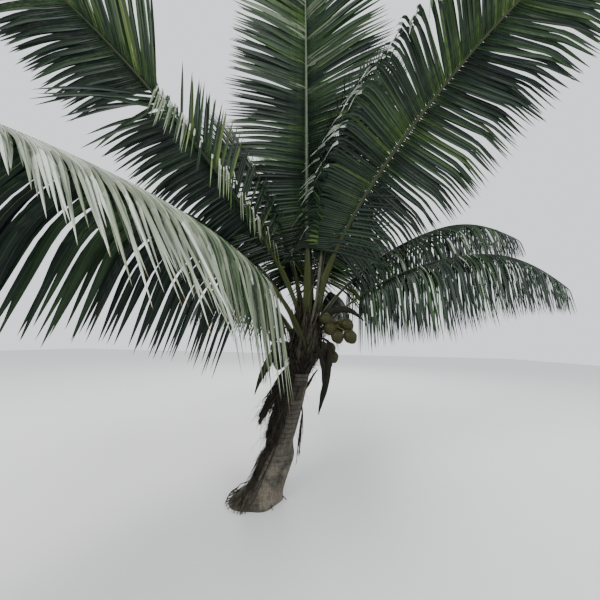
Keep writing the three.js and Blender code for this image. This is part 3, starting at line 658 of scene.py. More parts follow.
def side_blades(f, line, sign, settings, rng):
    """Points, faces and tones of the leaflets on one side of a rib."""
    habit = f.right if sign > 0 else f.left or f.right
    wild = habit.wild
    u, torn = leaflet_places(habit, sign, settings, rng)
    n = len(u)
    share = PETIOLE_SHARE + (1 - PETIOLE_SHARE) * u ** STATION_POWER
    forward, up, side = axes_at(f, share)
    side = side * sign
    place = rib_place(share)
    at = on_line(line, share) + side * (rib_width(place) * ROOT_OUT)[:, None]
    at = at + up * (rib_height(place) * ROOT_UP)[:, None]
    out = leaflet_directions(habit, u, torn, (forward, up, side), settings, rng)

    snapped = np.zeros(n, bool)
    if habit.fold:
        snapped = between(u, habit.fold) & (rng.random(n) < np.interp(u, SNAPPED_AT, SNAPPED_SHARE))
    knee = np.where(snapped, FOLD_KNEE, habit.knee) + rng.normal(0, KNEE_SPREAD, n) * wild
    droop = steps(np.atleast_1d(habit.droop), u) * rng.uniform(0.75, 1.25, n) + drift(rng, u, 9, 0.08)
    droop = np.where(snapped, FOLD_DROOP, droop)
    soft = np.where(snapped, SNAPPED_BEND, STIFF_BEND if habit.knee > STIFF_KNEE else LIMP_BEND)
    hang = unit(out - np.array(UP) * droop[:, None])
    length, width = leaflet_sizes(f, habit, u, snapped, settings, rng)
    twist = np.radians(rng.normal(0, TWIST_SPREAD, n) + drift(rng, u, 16, TWIST_DRIFT)) * wild
    twist = twist + np.radians(rng.normal(0, LIMP_TWIST, n)) * np.minimum(droop / 3, 1) * wild

    def heading(t):
        bent = smooth((t - knee + soft) / (2 * soft))[:, None]
        return unit(out * (1 - bent) + hang * bent)

    rings = []
    start_crest = None
    for k, t in enumerate(RINGS):
        if k:
            gap = t - RINGS[k - 1]
            for part in (1 / 6, 1 / 2, 5 / 6):
                at = at + heading(RINGS[k - 1] + gap * part) * (length * gap / 3)[:, None]
        along = heading(t)
        across = unit(forward - along * np.sum(forward * along, -1, keepdims=True))
        if start_crest is None:
            crest = np.cross(along, across)
            start_crest = np.where(np.sum(crest * up, -1, keepdims=True) < 0, -1.0, 1.0)
        across = across * start_crest
        crest = np.cross(along, across)
        c, s = np.cos(twist * t)[:, None], np.sin(twist * t)[:, None]
        across, crest = across * c + crest * s, crest * c - across * s
        half = (width * np.interp(t, WIDTH_AT, WIDTH_OF) / 2)[:, None]
        fold = math.radians(max(habit.pleat, float(np.interp(t, FOLD_AT, FOLD_OF))))
        rings.append(ring_of(at, across, crest, half, fold, t))
    return blades_from(rings, tones_of(habit, u, snapped, knee, rng))


# Places in the list of leaf tones, where the undersides follow the upper sides. The undersides are
# painted darker than the upper sides as shade, and the last two tones paint sheen.
ASH = 5
PAINTED_SHEEN = 6
UNDER = 7
DRY = 14
MIDRIB = 15
# Where a bent leaflet carries a painted glint, past its knee, and the shares of snapped ones with a
# painted glint, of snapped ones whose hanging end has a painted soft sheen, and of dry-tipped ones
GLINT_FROM_TO = (0.04, 0.34)
SNAPPED_GLINT_FROM_TO = (-0.03, 0.16)
SNAPPED_GLINTS = 0.75
SNAPPED_SHEEN_ENDS = 0.6
DRY_TIPS = 0.12
DRY_FROM = 0.95


def tones_of(habit, u, snapped, knee, rng):
    """The leaf tone of each leaflet at each ring, for its upper side and its underside."""
    n = len(u)
    levels = len(RINGS) - 1
    level = np.cumsum(TONE_SHARES[habit.tones])
    # The paling term is painted light: leaflets further out rank toward the paler tones, out of the
    # crown's shade and into sheen
    pick = drift(rng, u, 24, 0.42 * habit.wild) + rng.normal(0, 0.2, n) + habit.paling * u
    pick = np.argsort(np.argsort(pick)) / n
    tone = np.clip(np.searchsorted(level / level[-1], pick), 0, PAINTED_SHEEN)
    upper = np.tile(tone, (levels, 1))
    under = upper + UNDER
    begin, end = (knee + np.where(snapped, s, p) for s, p in zip(SNAPPED_GLINT_FROM_TO, GLINT_FROM_TO))
    # Painted glints: the bent-over part of these leaflets takes the palest tone, a painted highlight
    glint = (rng.random(n) < habit.glints) | (snapped & (rng.random(n) < SNAPPED_GLINTS))
    dry = rng.random(n) < DRY_TIPS
    # Painted soft sheen: the hanging ends of some snapped leaflets take the grey-green sheen tone
    sheen_ends = snapped & (rng.random(n) < SNAPPED_SHEEN_ENDS)
    curled = snapped | (np.max(habit.droop) > 2)
    for k in range(levels):
        middle = (RINGS[k] + RINGS[k + 1]) / 2
        bent = glint & (middle > begin) & (middle < end)
        beyond = sheen_ends & (middle >= end)
        # Glints and sheen painted over each ring's tone; curled ends show the glint on their undersides
        # too
        upper[k] = np.where(bent, PAINTED_SHEEN, np.where(beyond, ASH, upper[k]))
        under[k] = np.where(bent & curled, PAINTED_SHEEN, np.where(beyond, ASH + UNDER, under[k]))
        if middle > DRY_FROM:
            upper[k] = np.where(dry, DRY, upper[k])
            under[k] = np.where(dry, DRY, under[k])
    return upper, under


def blades_from(rings, tones):
    """Closed folded blades through rings of five points, each ending in one point."""
    upper, under = tones
    n = rings[0].shape[0]
    body = np.stack(rings[:-1], 1)
    tip = rings[-1].mean(axis=1)[:, None, :]
    levels = len(RINGS) - 1
    points = np.concatenate([body.reshape(n, levels * RING_POINTS, 3), tip], 1)
    each = points.shape[1]
    faces, kinds = [], []
    for i in range(n):
        base = i * each
        for k in range(levels):
            low, high = base + k * RING_POINTS, base + (k + 1) * RING_POINTS
            a, b = int(upper[k, i]), int(under[k, i])
            for j, kind in enumerate((a, a, b, MIDRIB, b)):
                m = (j + 1) % RING_POINTS
                if k < levels - 1:
                    faces.append((low + j, low + m, high + m, high + j))
                else:
                    faces.append((low + j, low + m, base + each - 1))
                kinds.append(kind)
        faces.append(tuple(base + j for j in reversed(range(RING_POINTS))))
        kinds.append(int(under[0, i]))
    return points.reshape(-1, 3), faces, kinds, each


def crease(piece, each):
    """Keeps the edges that run along a blade sharp, and smooths the bends across it."""
    mesh = piece.data
    mesh.shade_smooth()
    ends = np.zeros(len(mesh.edges) * 2, np.int32)
    mesh.edges.foreach_get("vertices", ends)
    ring = (ends.reshape(-1, 2) % each) // RING_POINTS
    sharp = ring[:, 0] != ring[:, 1]
    mesh.attributes.new("sharp_edge", "BOOLEAN", "EDGE").data.foreach_set("value", sharp)


def leaflets_piece(f, line, settings, seed):
    """All leaflets of a frond, joined."""
    rng = np.random.default_rng(seed)
    points, faces, kinds = [], [], []
    start = 0
    for sign in (1, -1):
        p, fs, ks, each = side_blades(f, line, sign, settings, rng)
        points.append(p)
        faces.extend(tuple(v + start for v in face) for face in fs)
        kinds.extend(ks)
        start += len(p)
    piece = mesh_piece(np.vstack(points), faces, kinds)
    crease(piece, each)
    return piece


def frond_nodes(f):
    """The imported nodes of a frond: one, or the two that meet at its bend."""
    both = [f.name, f.name + "_inner", f.name + "_outer"]
    return [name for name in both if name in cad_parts]


# Many small things from arrays, and columns round the stem
THREAD_FACE = (0.31, 0.52, 0.79)
COLUMN_SIDES = 40
COLUMN_MIDDLE = 0.02


def bands(paths, faces_to, widths, thicks):
    """Closed flat strips or threads: one row of points each, with the way the broad side looks."""
    paths = np.asarray(paths, float)
    n, k = paths.shape[:2]
    along = unit(np.gradient(paths, axis=1))
    normal = np.broadcast_to(np.asarray(faces_to, float), paths.shape)
    normal = unit(normal - along * np.sum(normal * along, -1, keepdims=True))
    side = np.cross(normal, along)
    wide = side * (np.broadcast_to(widths, (n, k)) / 2)[..., None]
    deep = normal * (np.broadcast_to(thicks, (n, k)) / 2)[..., None]
    points = np.stack([paths + wide, paths + deep, paths - wide, paths - deep], 2).reshape(-1, 3)
    faces = []
    for i in range(n):
        base = i * k * 4
        for j in range(k - 1):
            low, high = base + j * 4, base + (j + 1) * 4
            for m in range(4):
                p = (m + 1) % 4
                faces.append((low + p, low + m, high + m, high + p))
        faces.append((base, base + 1, base + 2, base + 3))
        end = base + (k - 1) * 4
        faces.append((end + 3, end + 2, end + 1, end))
    return points, faces


def strips_piece(paths, faces_to, widths, thickness):
    """Flat strips, joined."""
    piece = mesh_piece(*bands(paths, faces_to, widths, thickness))
    piece.data.shade_smooth()
    return piece


def threads_piece(paths, radius, thin_tip=0.35):
    """Round threads that taper, joined."""
    paths = np.asarray(paths, float)
    taper = np.linspace(1, thin_tip, paths.shape[1])[None, :] * 2 * np.reshape(radius, (-1, 1))
    return strips_piece(paths, THREAD_FACE, taper, taper)


def rows(rng, count, low, high):
    """A random number for each strip or thread, beside the places along it."""
    return rng.uniform(low, high, count)[:, None]


def beside_stem(azimuth, z, radius):
    """Points at a radius round the stem's middle, and the way out to each of them."""
    azimuth, z = np.broadcast_arrays(azimuth, z)
    middle = np.stack([LEAN_REACH * z / (z + LEAN_HEIGHT), 0 * z, z], -1)
    out = np.stack([np.cos(azimuth), np.sin(azimuth), 0 * z], -1)
    return middle + out * radius[..., None], out


def column(heights, radius_of):
    """A round piece up the leaning stem."""
    stations = []
    for z in heights:
        size = 2 * float(radius_of(z))
        stations.append(Station(stem_centre(z), ACROSS, AWAY, size, size))
    return extruded(stations, circle(COLUMN_SIDES))


def column_points(piece):
    """Each point of a column, with the stem's middle at its height and the way out from there."""
    for vertex in piece.data.vertices:
        centre = stem_centre(vertex.co.z)
        yield vertex, centre, Vector((vertex.co.x - centre.x, vertex.co.y - centre.y, 0))


# Trunk


def stem_radius(z):
    return lerp(STEM_RADIUS, BOLE_RADIUS, smooth((BOLE_HEIGHT + BOLE_BLEND - z) / (2 * BOLE_BLEND)))


def flare(azimuth, z):
    """How far the foot spreads, most on the left."""
    lean = np.maximum(0, np.cos(azimuth - math.radians(FLARE_LEFT_AZIMUTH)))
    lobes = FLARE_LOBE_DEPTH * np.cos(FLARE_LOBES * azimuth + math.radians(20))
    return (FLARE_ALL_ROUND + FLARE_LEFT * lean ** 2 + lobes) * np.exp(-z / FLARE_HEIGHT)


def bark_relief(azimuth, z, settings):
    """Height of the bark in metres and how light it is, from ring scars, cracks and loose scales."""
    low = float(smooth((WORN_BELOW - z) / WORN_BLEND))
    spacing = lerp(settings.scar_spacing, settings.scar_spacing * LOW_SPACING_SHARE, low)
    around = Vector((math.cos(azimuth), math.sin(azimuth), 0))
    phase = (z + SCAR_WANDER * noise.noise(around * 1.3 + UP * (z * 7))) / spacing
    part = phase - math.floor(phase)
    scar = math.exp(-((part - SCAR_AT) / SCAR_WIDTH) ** 2)
    lip = math.exp(-((part - LIP_AT) / LIP_WIDTH) ** 2)
    crack = abs(noise.noise(around * 9 + UP * (z * 11 + 3.7)))
    crack = max(0.0, 1 - crack / CRACK_WIDTH) * lerp(0.5, 0.8, low)
    flake = noise.noise(around * 6 + UP * (z * 38)) + 0.5 * noise.noise(around * 14 + UP * (z * 90))
    patch = noise.noise(around * 1.8 + UP * (z * 6 + 4))
    height = -settings.scar_depth * scar * lerp(1, 0.4, low) - settings.crack_depth * crack
    height += FLAKE_HEIGHT * flake + PATCH_HEIGHT * patch * low + LIP_HEIGHT * lip
    light = MIDDLE_LIGHT + 0.13 * flake + 0.16 * patch + 0.1 * lip
    light -= 0.30 * scar * lerp(1, 0.45, low) + 0.28 * crack
    return height, light


def model_trunk(settings):
    shares = [i / (TRUNK_RINGS - 1) for i in range(TRUNK_RINGS)]
    piece = column([TRUNK_TOP * share ** RING_CROWDING for share in shares], stem_radius)
    subdivide(piece, 2, "SIMPLE")
    lights = []
    for vertex, centre, out in column_points(piece):
        if out.length < COLUMN_MIDDLE:
            lights.append(END_LIGHT)
            continue
        z = vertex.co.z
        azimuth = math.atan2(out.y, out.x)
        full = min(1.0, z / EVEN_FOOT, (TRUNK_TOP - z) / EVEN_TOP)
        height, light = bark_relief(azimuth, z, settings)
        radius = float(stem_radius(z)) + float(flare(azimuth, z)) + height * full
        share = out.length / float(stem_radius(z))
        share = 1 if share > RIM_SHARE else share
        vertex.co.xy = (centre + out.normalized() * radius * share).xy
        lights.append(light)
    mesh = piece.data
    mesh.attributes.new("relief", "FLOAT", "POINT").data.foreach_set("value", lights)
    mesh.shade_smooth()
    settle(piece, "trunk_bark", "bark", [bark_material(settings)], "trunk")
    model_roots()


def model_roots():
    """Short roots that turn into the ground round the foot, most of them on the left."""
    random.seed(SEEDS["roots"])
    roots = []
    for _ in range(ROOTS):
        azimuth = FLARE_LEFT_AZIMUTH + random.gauss(0, ROOT_SPREAD)
        out = spoke(azimuth)
        turn = spoke(azimuth + random.uniform(-50, 50))
        thick = random.uniform(0.008, 0.015)
        reach = BOLE_RADIUS + float(flare(math.radians(azimuth), 0))
        high = random.uniform(0.02, 0.09)
        start = out * (reach - 0.055)
        points = [
            start + UP * high,
            start + out * 0.03 + UP * (high * 0.75),
            start + out * 0.055 + turn * 0.015 + UP * (high * 0.3 + thick),
            start + out * 0.062 + turn * random.uniform(0.02, 0.04) + UP * (thick * 0.5),
        ]
        points = [Vector((max(p.x, ROOT_LEFT_END), p.y, max(p.z, thick * 0.5))) for p in points]
        at, forward = curve_points(points, 9)
        line = []
        for k, (a, f) in enumerate(zip(at, forward)):
            side = f.cross(UP)
            side = side.normalized() if side.length > 0.05 else spoke(azimuth + 90)
            size = thick * (1 - ROOT_THINNING * k / (len(at) - 1))
            a.z = max(a.z, size * 0.55)
            line.append(Station(a, side, side.cross(f), size, size))
        roots.append(extruded(line))
    roots = join(roots)
    roots.data.shade_smooth()
    settle(roots, "foot_roots", "bark", [root_material()], "trunk")


# Sheath and dry sheaths


def core_radius(z):
    up = np.clip((z - CORE_FOOT) / (CORE_TOP - CORE_FOOT), 0, 1)
    foot = lerp(CORE_FOOT_RADIUS, CORE_BELLY_RADIUS, smooth(up / CORE_BELLY_AT))
    rest = np.clip((up - CORE_BELLY_AT) / (1 - CORE_BELLY_AT), 0, 1)
    return np.where(up < CORE_BELLY_AT, foot, lerp(CORE_BELLY_RADIUS, CORE_TOP_RADIUS, rest ** 1.35))


def on_core(azimuth, z, above):
    """Points on the sheath or above it, and the way out to each of them."""
    return beside_stem(azimuth, z, core_radius(z) + above)


Flaps = namedtuple("Flaps", "name azimuths wander foot tall near far wide taper power")
FLAPS = (
    Flaps("sheath_cloth", (0, 360), 0.2, (1.34, 1.60), (0.26, 0.46), (0.006, 0.02), (0.02, 0.07),
          (0.03, 0.075), 0.8, 1.6),
    Flaps("sheath_web", (166, 216), 0.12, (1.62, 1.76), (0.22, 0.38), (0.0, 0.02), (0.06, 0.16),
          (0.04, 0.08), 0.7, 2),
)


def model_core(settings):
    """The folded middle of the sheath."""
    shares = [i / (CORE_RINGS - 1) for i in range(CORE_RINGS)]
    core = column([lerp(CORE_FOOT + CORE_LIFT, CORE_TOP, share) for share in shares], core_radius)
    subdivide(core, 1, "SIMPLE")
    for vertex, centre, out in column_points(core):
        if out.length < COLUMN_MIDDLE:
            continue
        a = math.atan2(out.y, out.x)
        radius = float(core_radius(vertex.co.z))
        share = min(1, out.length / radius / 0.995)
        fold = FOLD_DEPTH * noise.noise(Vector((math.cos(a) * 4, math.sin(a) * 4, vertex.co.z * 2.2)))
        cord = CORD_DEPTH * math.sin(a * 31 + 5 * noise.noise(Vector((a, 0, vertex.co.z * 5))))
        vertex.co.xy = (centre + out.normalized() * (radius + fold + cord - CORE_SUNK) * share).xy
    core.data.shade_smooth()
    fibre = sheath_material("sheath_fibre", settings.dark, settings.brown)
    settle(core, "sheath_core", "fibre", [fibre], "crown_fibre")


def model_weave(settings, rng):
    """Flat strips that cross over the core."""
    count = settings.weave_strips
    t = np.linspace(0, 1, 12)[None, :]
    azimuth = rows(rng, count, 0, 2 * math.pi)
    slant = np.where(rng.random(count) < 0.5, 1, -1)[:, None] * rows(rng, count, 0.3, 0.75)
    low = rows(rng, count, CORE_FOOT, 1.62)
    z = low + t * rows(rng, count, 0.16, 0.34)
    lay, out = on_core(azimuth + slant * t, z, rows(rng, count, 0.0, 0.012) + 0.014 * t * (1 - t))
    weave = strips_piece(lay, out, rows(rng, count, 0.004, 0.015) * (1 - 0.6 * t), WOVEN_THICKNESS)
    fibre = sheath_material("woven_fibre", settings.brown, settings.pale)
    settle(weave, "sheath_weave", "fibre", [fibre], "crown_fibre")


def model_flaps(settings, rng):
    """Flaps of cloth that stand off the core."""
    t = np.linspace(0, 1, 10)[None, :]
    fibre = sheath_material("cloth_fibre", settings.dark, settings.pale)
    for flaps, count in zip(FLAPS, (settings.cloth_flaps, settings.web_flaps)):
        azimuth = np.radians(rows(rng, count, *flaps.azimuths))
        azimuth = azimuth + rng.normal(0, flaps.wander, count)[:, None] * t
        z = rows(rng, count, *flaps.foot) + t * rows(rng, count, *flaps.tall)
        lay, out = on_core(azimuth, z, rows(rng, count, *flaps.near) + rows(rng, count, *flaps.far) * t)
        wide = rows(rng, count, *flaps.wide) * (1 - flaps.taper * t ** flaps.power)
        cloth = strips_piece(lay, out, wide, WOVEN_THICKNESS)
        settle(cloth, flaps.name, "fibre", [fibre], "crown_fibre")


def model_loose_threads(settings, rng):
    """Threads that stand off the crown and sag."""
    count = settings.loose_fibres
    t = np.linspace(0, 1, 7)[None, :]
    azimuth = rows(rng, count, 0, 2 * math.pi)
    z = rows(rng, count, CORE_FOOT + 0.01, 1.9)
    reach = rows(rng, count, 0.04, 0.15)
    fall = rows(rng, count, -0.14, 0.22)
    bend = rng.normal(0, 0.5, count)[:, None]
    paths = on_core(azimuth + bend * t, z, reach * t ** 1.3 - 0.004)[0]
    paths[..., 2] += -fall * t ** 2 + 0.03 * t
    loose = threads_piece(paths, rng.uniform(0.0006, 0.0016, count))
    thread = plain_material("fibre_thread", settings.brown, settings.pale, 60)
    settle(loose, "sheath_threads", "fibre", [thread], "crown_fibre")


def model_sheath(settings):
    model_core(settings)
    rng = np.random.default_rng(SEEDS["sheath"])
    model_weave(settings, rng)
    model_flaps(settings, rng)
    model_loose_threads(settings, rng)


# Widths, thicknesses, azimuths, reaches from the stem's middle and heights in millimetres and degrees
DryPiece = namedtuple("DryPiece", "name face widths heights path")
DRY_SHEATHS = (
    DryPiece("dead_sheath_left_upper", (0.5, 1, 0), (40, 64, 52, 8), (12, 18, 14, 5),
             ((206, 70, 1270), (204, 170, 1180), (200, 250, 980), (196, 330, 760))),
    DryPiece("dead_sheath_left_lower", (0.4, 1, 0), (40, 70, 60, 10), (12, 20, 16, 6),
             ((232, 60, 1230), (226, 150, 1080), (216, 176, 820), (206, 196, 560))),
    DryPiece("dead_sheath_rear", (1, -0.2, 0), (40, 66, 56, 10), (12, 18, 14, 6),
             ((96, 60, 1240), (96, 160, 1120), (92, 206, 860), (88, 240, 640))),
)
DRY_SPATHES = (
    DryPiece("spathe_right_arching", (0, 1, 0.2), (18, 46, 52, 34, 5), (14, 22, 20, 14, 4),
             ((-14, 90, 1770), (-14, 260, 1862), (-9, 430, 1872), (-8, 610, 1755))),
    DryPiece("spathe_right_hanging", (0, 1, 0), (10, 26, 48, 44, 5), (9, 12, 16, 12, 4),
             ((-30, 90, 1570), (-24, 268, 1500), (-20, 300, 1180), (-14, 292, 780))),
    DryPiece("spathe_right_short", (0.2, 1, 0), (10, 34, 30, 4), (9, 14, 12, 4),
             ((-64, 90, 1500), (-52, 218, 1440), (-46, 290, 1290), (-42, 318, 1110))),
)
DEAD_LEAVES = (
    DryPiece("dead_strip_right", (1, 0.4, 0), (12, 16, 14, 4), (6, 7, 6, 3),
             ((-30, 60, 900), (-24, 118, 820), (-16, 150, 600), (-12, 216, 300))),
    DryPiece("dead_leaf_left", (0.3, 1, 0), (12, 30, 58, 48, 6), (8, 10, 12, 10, 4),
             ((206, 90, 1430), (202, 300, 1440), (198, 400, 1240), (192, 430, 960))),
)
SPEAR = DryPiece("spear", (0, 1, 0), (12, 22, 36, 34, 22, 4), (10, 14, 17, 16, 11, 4),
                 ((-84, 95, 1620), (-80, 158, 1800), (-78, 150, 2300), (-77, 128, 3040)))


def stem_path(path):
    """Points in metres from (azimuth, reach from the stem's middle, height)."""
    return [stem_centre(z / 1000) + spoke(a) * (reach / 1000) for a, reach, z in path]


def dry_shape(row, outline, count, wide, deep=1.0):
    """A dry piece drawn out along its path, and its stations."""
    widths = [w / 1000 * wide for w in row.widths]
    heights = [h / 1000 * deep for h in row.heights]
    stations = blade_stations(stem_path(row.path), row.face, widths, heights, count)
    return extruded(stations, outline), stations


def wrinkle(piece, size, scale, seed, degrees):
    """Rounds a dry piece, crumples it and shades it."""
    subdivide(piece, 1)
    for vertex in piece.data.vertices:
        p = vertex.co * scale + Vector((seed, 2.3 * seed, 0))
        push = [noise.noise(p + Vector(apart)) for apart in ((0, 0, 0), (7, 1, 3), (2, 9, 5))]
        vertex.co += Vector(push) * size
    shade(piece, degrees)


def hanging_threads(stations, count, rng, length, spread, drop=1.0):
    """Threads that leave a long piece along its edges and hang."""
    t = np.linspace(0, 1, 7)
    strands = []
    for _ in range(count):
        s = stations[int(rng.integers(2, len(stations)))]
        sign = rng.choice([-1, 1])
        start = s.at + s.side * (sign * s.width / 2 * rng.uniform(0.1, 0.9)) + s.up * (s.height * 0.2)
        size = length * rng.uniform(0.4, 1.2)
        push = s.side * (sign * spread * size * rng.uniform(0.1, 0.8))
        push += s.up * (spread * size * rng.normal(0, 0.35))
        strands.append([tuple(start + push * k - UP * (drop * size * k * k)) for k in t])
    return np.array(strands)


def torn_strips(stations, count, rng, wide, long_share, stray):
    """Strips laid along a long piece, each with an end that has come away."""
    strips, widths = [], []
    last = len(stations) - 1
    along = np.linspace(0, 1, 10)
    for _ in range(count):
        first = rng.uniform(0, 0.8)
        until = min(1.0, first + long_share * rng.uniform(0.5, 1.3))
        offset = rng.uniform(-1, 1)
        lifted = rng.uniform(0.2, 1.6)
        slip = rng.normal(0, 1.1)
        row = []
        for k in along:
            s = stations[int(round(lerp(first, until, k) * last))]
            out = s.up * (s.height * (0.3 + lifted * k * k))
            out += s.side * (s.width / 2 * (offset + slip * k * k))
            row.append(tuple(s.at + out + UP * (-stray * k ** 2 * rng.uniform(0.6, 1.0))))
        strips.append(row)
        widths.append(wide * rng.uniform(0.4, 1.3) * (1 - 0.75 * along ** 1.5))
    return np.array(strips), np.array(widths)


def model_dry_sheaths(settings):
    rng = np.random.default_rng(SEEDS["dry sheaths"])
    skin = sheath_material("dead_fibre", settings.dark, settings.brown)
    worn = sheath_material("torn_fibre", settings.dark, settings.pale)
    hair = plain_material("pale_thread", settings.brown, settings.pale, 40)
    soot = plain_material("dark_thread", settings.dark, settings.brown, 40)
    for i, row in enumerate(DRY_SHEATHS):
        piece, stations = dry_shape(row, BOAT, 34, 0.72)
        wrinkle(piece, 0.016, 17, i + 2, 60)
        settle(piece, row.name + "_skin", "fibre", [skin], row.name)
        paths, widths = torn_strips(stations, settings.torn_strips, rng, 0.018, 0.45, 0.09)
        strips = strips_piece(paths, row.face, widths, STRIP_THICKNESS)
        settle(strips, row.name + "_strips", "fibre", [worn], row.name)
        strands = hanging_threads(stations, settings.sheath_threads, rng, 0.12, 0.8)
        threads = threads_piece(strands, rng.uniform(0.0006, 0.0018, len(strands)))
        settle(threads, row.name + "_dark_threads", "fibre", [soot], row.name)
        strands = hanging_threads(stations, settings.sheath_threads // 2, rng, 0.24, 0.9, 0.8)
        threads = threads_piece(strands, rng.uniform(0.0008, 0.002, len(strands)))
        settle(threads, row.name + "_pale_threads", "fibre", [hair], row.name)

    count = settings.clinging_strips
    lay, out = down_the_trunk(count, rng, (0.30, 1.28), (0.16, 0.44), (0.003, 0.030), 0.03)
    wide = rows(rng, count, 0.005, 0.018) * (1 - 0.7 * np.linspace(0, 1, lay.shape[1])[None, :])
    strips = strips_piece(lay, out, wide, STRIP_THICKNESS)
    settle(strips, "trunk_side_strips", "fibre", [worn], "dead_sheath_left_lower")
    count = settings.clinging_strips // 3
    lay, out = down_the_trunk(count, rng, (0.80, 1.28), (0.14, 0.36), (0.030, 0.075), 0.05)
    threads = threads_piece(lay, rng.uniform(0.0008, 0.0019, count))
    settle(threads, "trunk_side_threads", "fibre", [hair], "dead_sheath_left_lower")


def down_the_trunk(count, rng, tops, lengths, stands_off, curl):
    """Lines that run down the trunk's left side, and the way out from the trunk at each point."""
    t = np.linspace(0, 1, 9)[None, :]
    azimuth = np.radians(rng.normal(204, 21, count))[:, None] + rng.normal(0, 0.16, count)[:, None] * t
    top = rows(rng, count, *tops)
    z = np.maximum(top - t * rows(rng, count, *lengths), 0.02)
    reach = stem_radius(z) + flare(azimuth, z) + rows(rng, count, *stands_off)
    reach = reach + curl * rows(rng, count, 0, 1) * t ** 3
    return beside_stem(azimuth, z, reach)


LEAF_BASES = (("leaf_base_front", -70, 960), ("leaf_base_right", 14, 1050), ("leaf_base_rear", 130, 900),
              ("leaf_base_left", 172, 1010))
LEAF_BASE_STEPS = ((60, -70), (112, 0), (148, 90), (196, 168))


def model_leaf_bases(settings):
    for i, (name, azimuth, height) in enumerate(LEAF_BASES):
        points = stem_path([(azimuth, reach, height + rise) for reach, rise in LEAF_BASE_STEPS])
        widths, heights = (0.052, 0.044, 0.030, 0.016), (0.014, 0.016, 0.012, 0.006)
        piece = extruded(blade_stations(points, UP, widths, heights, 18), HALF_ROUND)
        wrinkle(piece, 0.006, 24, i + 11, 50)
        material = sheath_material(name + "_fibre", settings.brown, settings.pale)
        settle(piece, name + "_stub", "fibre", [material], name)


# Nuts, with the places of each bunch in millimetres and degrees
Bunch = namedtuple("Bunch", "name azimuth height reach fall away nuts")
BUNCHES = (
    Bunch("nut_bunch_right", -24, 1660, 290, -10, -30,
          ((-86, -6, 84), (-42, -22, -16), (34, -20, -98), (146, 18, 34), (172, -8, -96), (60, 92, 0))),
    Bunch("nut_bunch_left", 186, 1600, 380, -30, 0, ((-62, -40, 62), (66, -66, -20), (10, 40, -60))),
    Bunch("nut_bunch_rear_right", 40, 1490, 330, 90, 0,
          ((-50, -20, 60), (60, 40, 50), (70, -50, -50), (-30, 70, -40), (10, -10, -130))),
    Bunch("nut_bunch_rear_left", 150, 1480, 330, 90, 0,
          ((50, -20, 60), (-60, 40, 50), (-70, -50, -50), (30, 70, -40), (-10, -10, -130))),
)


# Below which height, in radii, the husk is sized, and how; height and size of the cap's steps; and
# the first and last radius in metres of a bunch's stalk and of its branches
NUT_SHAPING = ((2, (1, 1, 1.14)), (-0.45, (0.9, 0.9, 1)), (-0.95, (0.76, 0.76, 1)))
CAP_STEPS = ((0.92, 0.74), (1.0, 0.66), (1.1, 0.46), (1.22, 0.26), (1.34, 0.20))
STALK_RADII = (0.015, 0.009)
BRANCH_RADII = (0.008, 0.009)

# Dark and light colour and grain of a bunch's dry parts
NUT_PARTS = {
    "cap": ((0.02, 0.017, 0.01), (0.06, 0.05, 0.028), 30),
    "stalk": ((0.028, 0.03, 0.01), (0.07, 0.066, 0.025), 24),
    "twig": ((0.03, 0.025, 0.015), (0.10, 0.082, 0.05), 40),
}


def select_heights(piece, low, high):
    """Selects a piece's points between two heights, in edit mode."""
    bpy.ops.object.mode_set(mode="EDIT")
    bpy.ops.mesh.select_mode(type="VERT")
    bpy.ops.mesh.select_all(action="DESELECT")
    shape = bmesh.from_edit_mesh(piece.data)
    for vertex in shape.verts:
        vertex.select = low <= vertex.co.z <= high
    shape.select_flush(True)
    bmesh.update_edit_mesh(piece.data)


def nut_pattern(radius):
    """One husk: three-sided, narrower below, with its tip drawn out."""
    select_only()
    bpy.ops.mesh.primitive_uv_sphere_add(segments=24, ring_count=16, radius=radius)
    piece = bpy.context.active_object
    for below, size in NUT_SHAPING:
        select_heights(piece, -2 * radius, below * radius)
        bpy.ops.transform.resize(value=size, center_override=(0, 0, 0))
    bpy.ops.transform.translate(value=(0, 0, -0.03 * radius))
    bpy.ops.object.mode_set(mode="OBJECT")
    for vertex in piece.data.vertices:
        a = math.atan2(vertex.co.y, vertex.co.x)
        vertex.co.xy = vertex.co.xy * (1 + 0.055 * math.cos(3 * a))
    piece.data.shade_smooth()
    return piece


def cap_pattern(radius):
    """The lobed cap over a nut's stalk end."""
    stations = []
    for height, size in CAP_STEPS:
        width = 2 * radius * size
        stations.append(Station(UP * (radius * height), ACROSS, AWAY, width, width))
    return extruded(stations, LOBES)


def placed_copy(pattern, matrix):
    """A copy with a mesh of its own, put in its place."""
    mesh = pattern.data.copy()
    mesh.transform(matrix)
    piece = bpy.data.objects.new(pattern.name, mesh)
    bpy.context.scene.collection.objects.link(piece)
    return piece


def tube(points, radii, count):
    """A round stalk through a few points."""
    at, forward = curve_points(points, count)
    stations = []
    side = forward[0].orthogonal().normalized()
    for i, (a, f) in enumerate(zip(at, forward)):
        side = (side - f * side.dot(f)).normalized()
        size = 2 * lerp(*radii, i / (count - 1))
        stations.append(Station(a, side, f.cross(side), size, size))
    return extruded(stations)


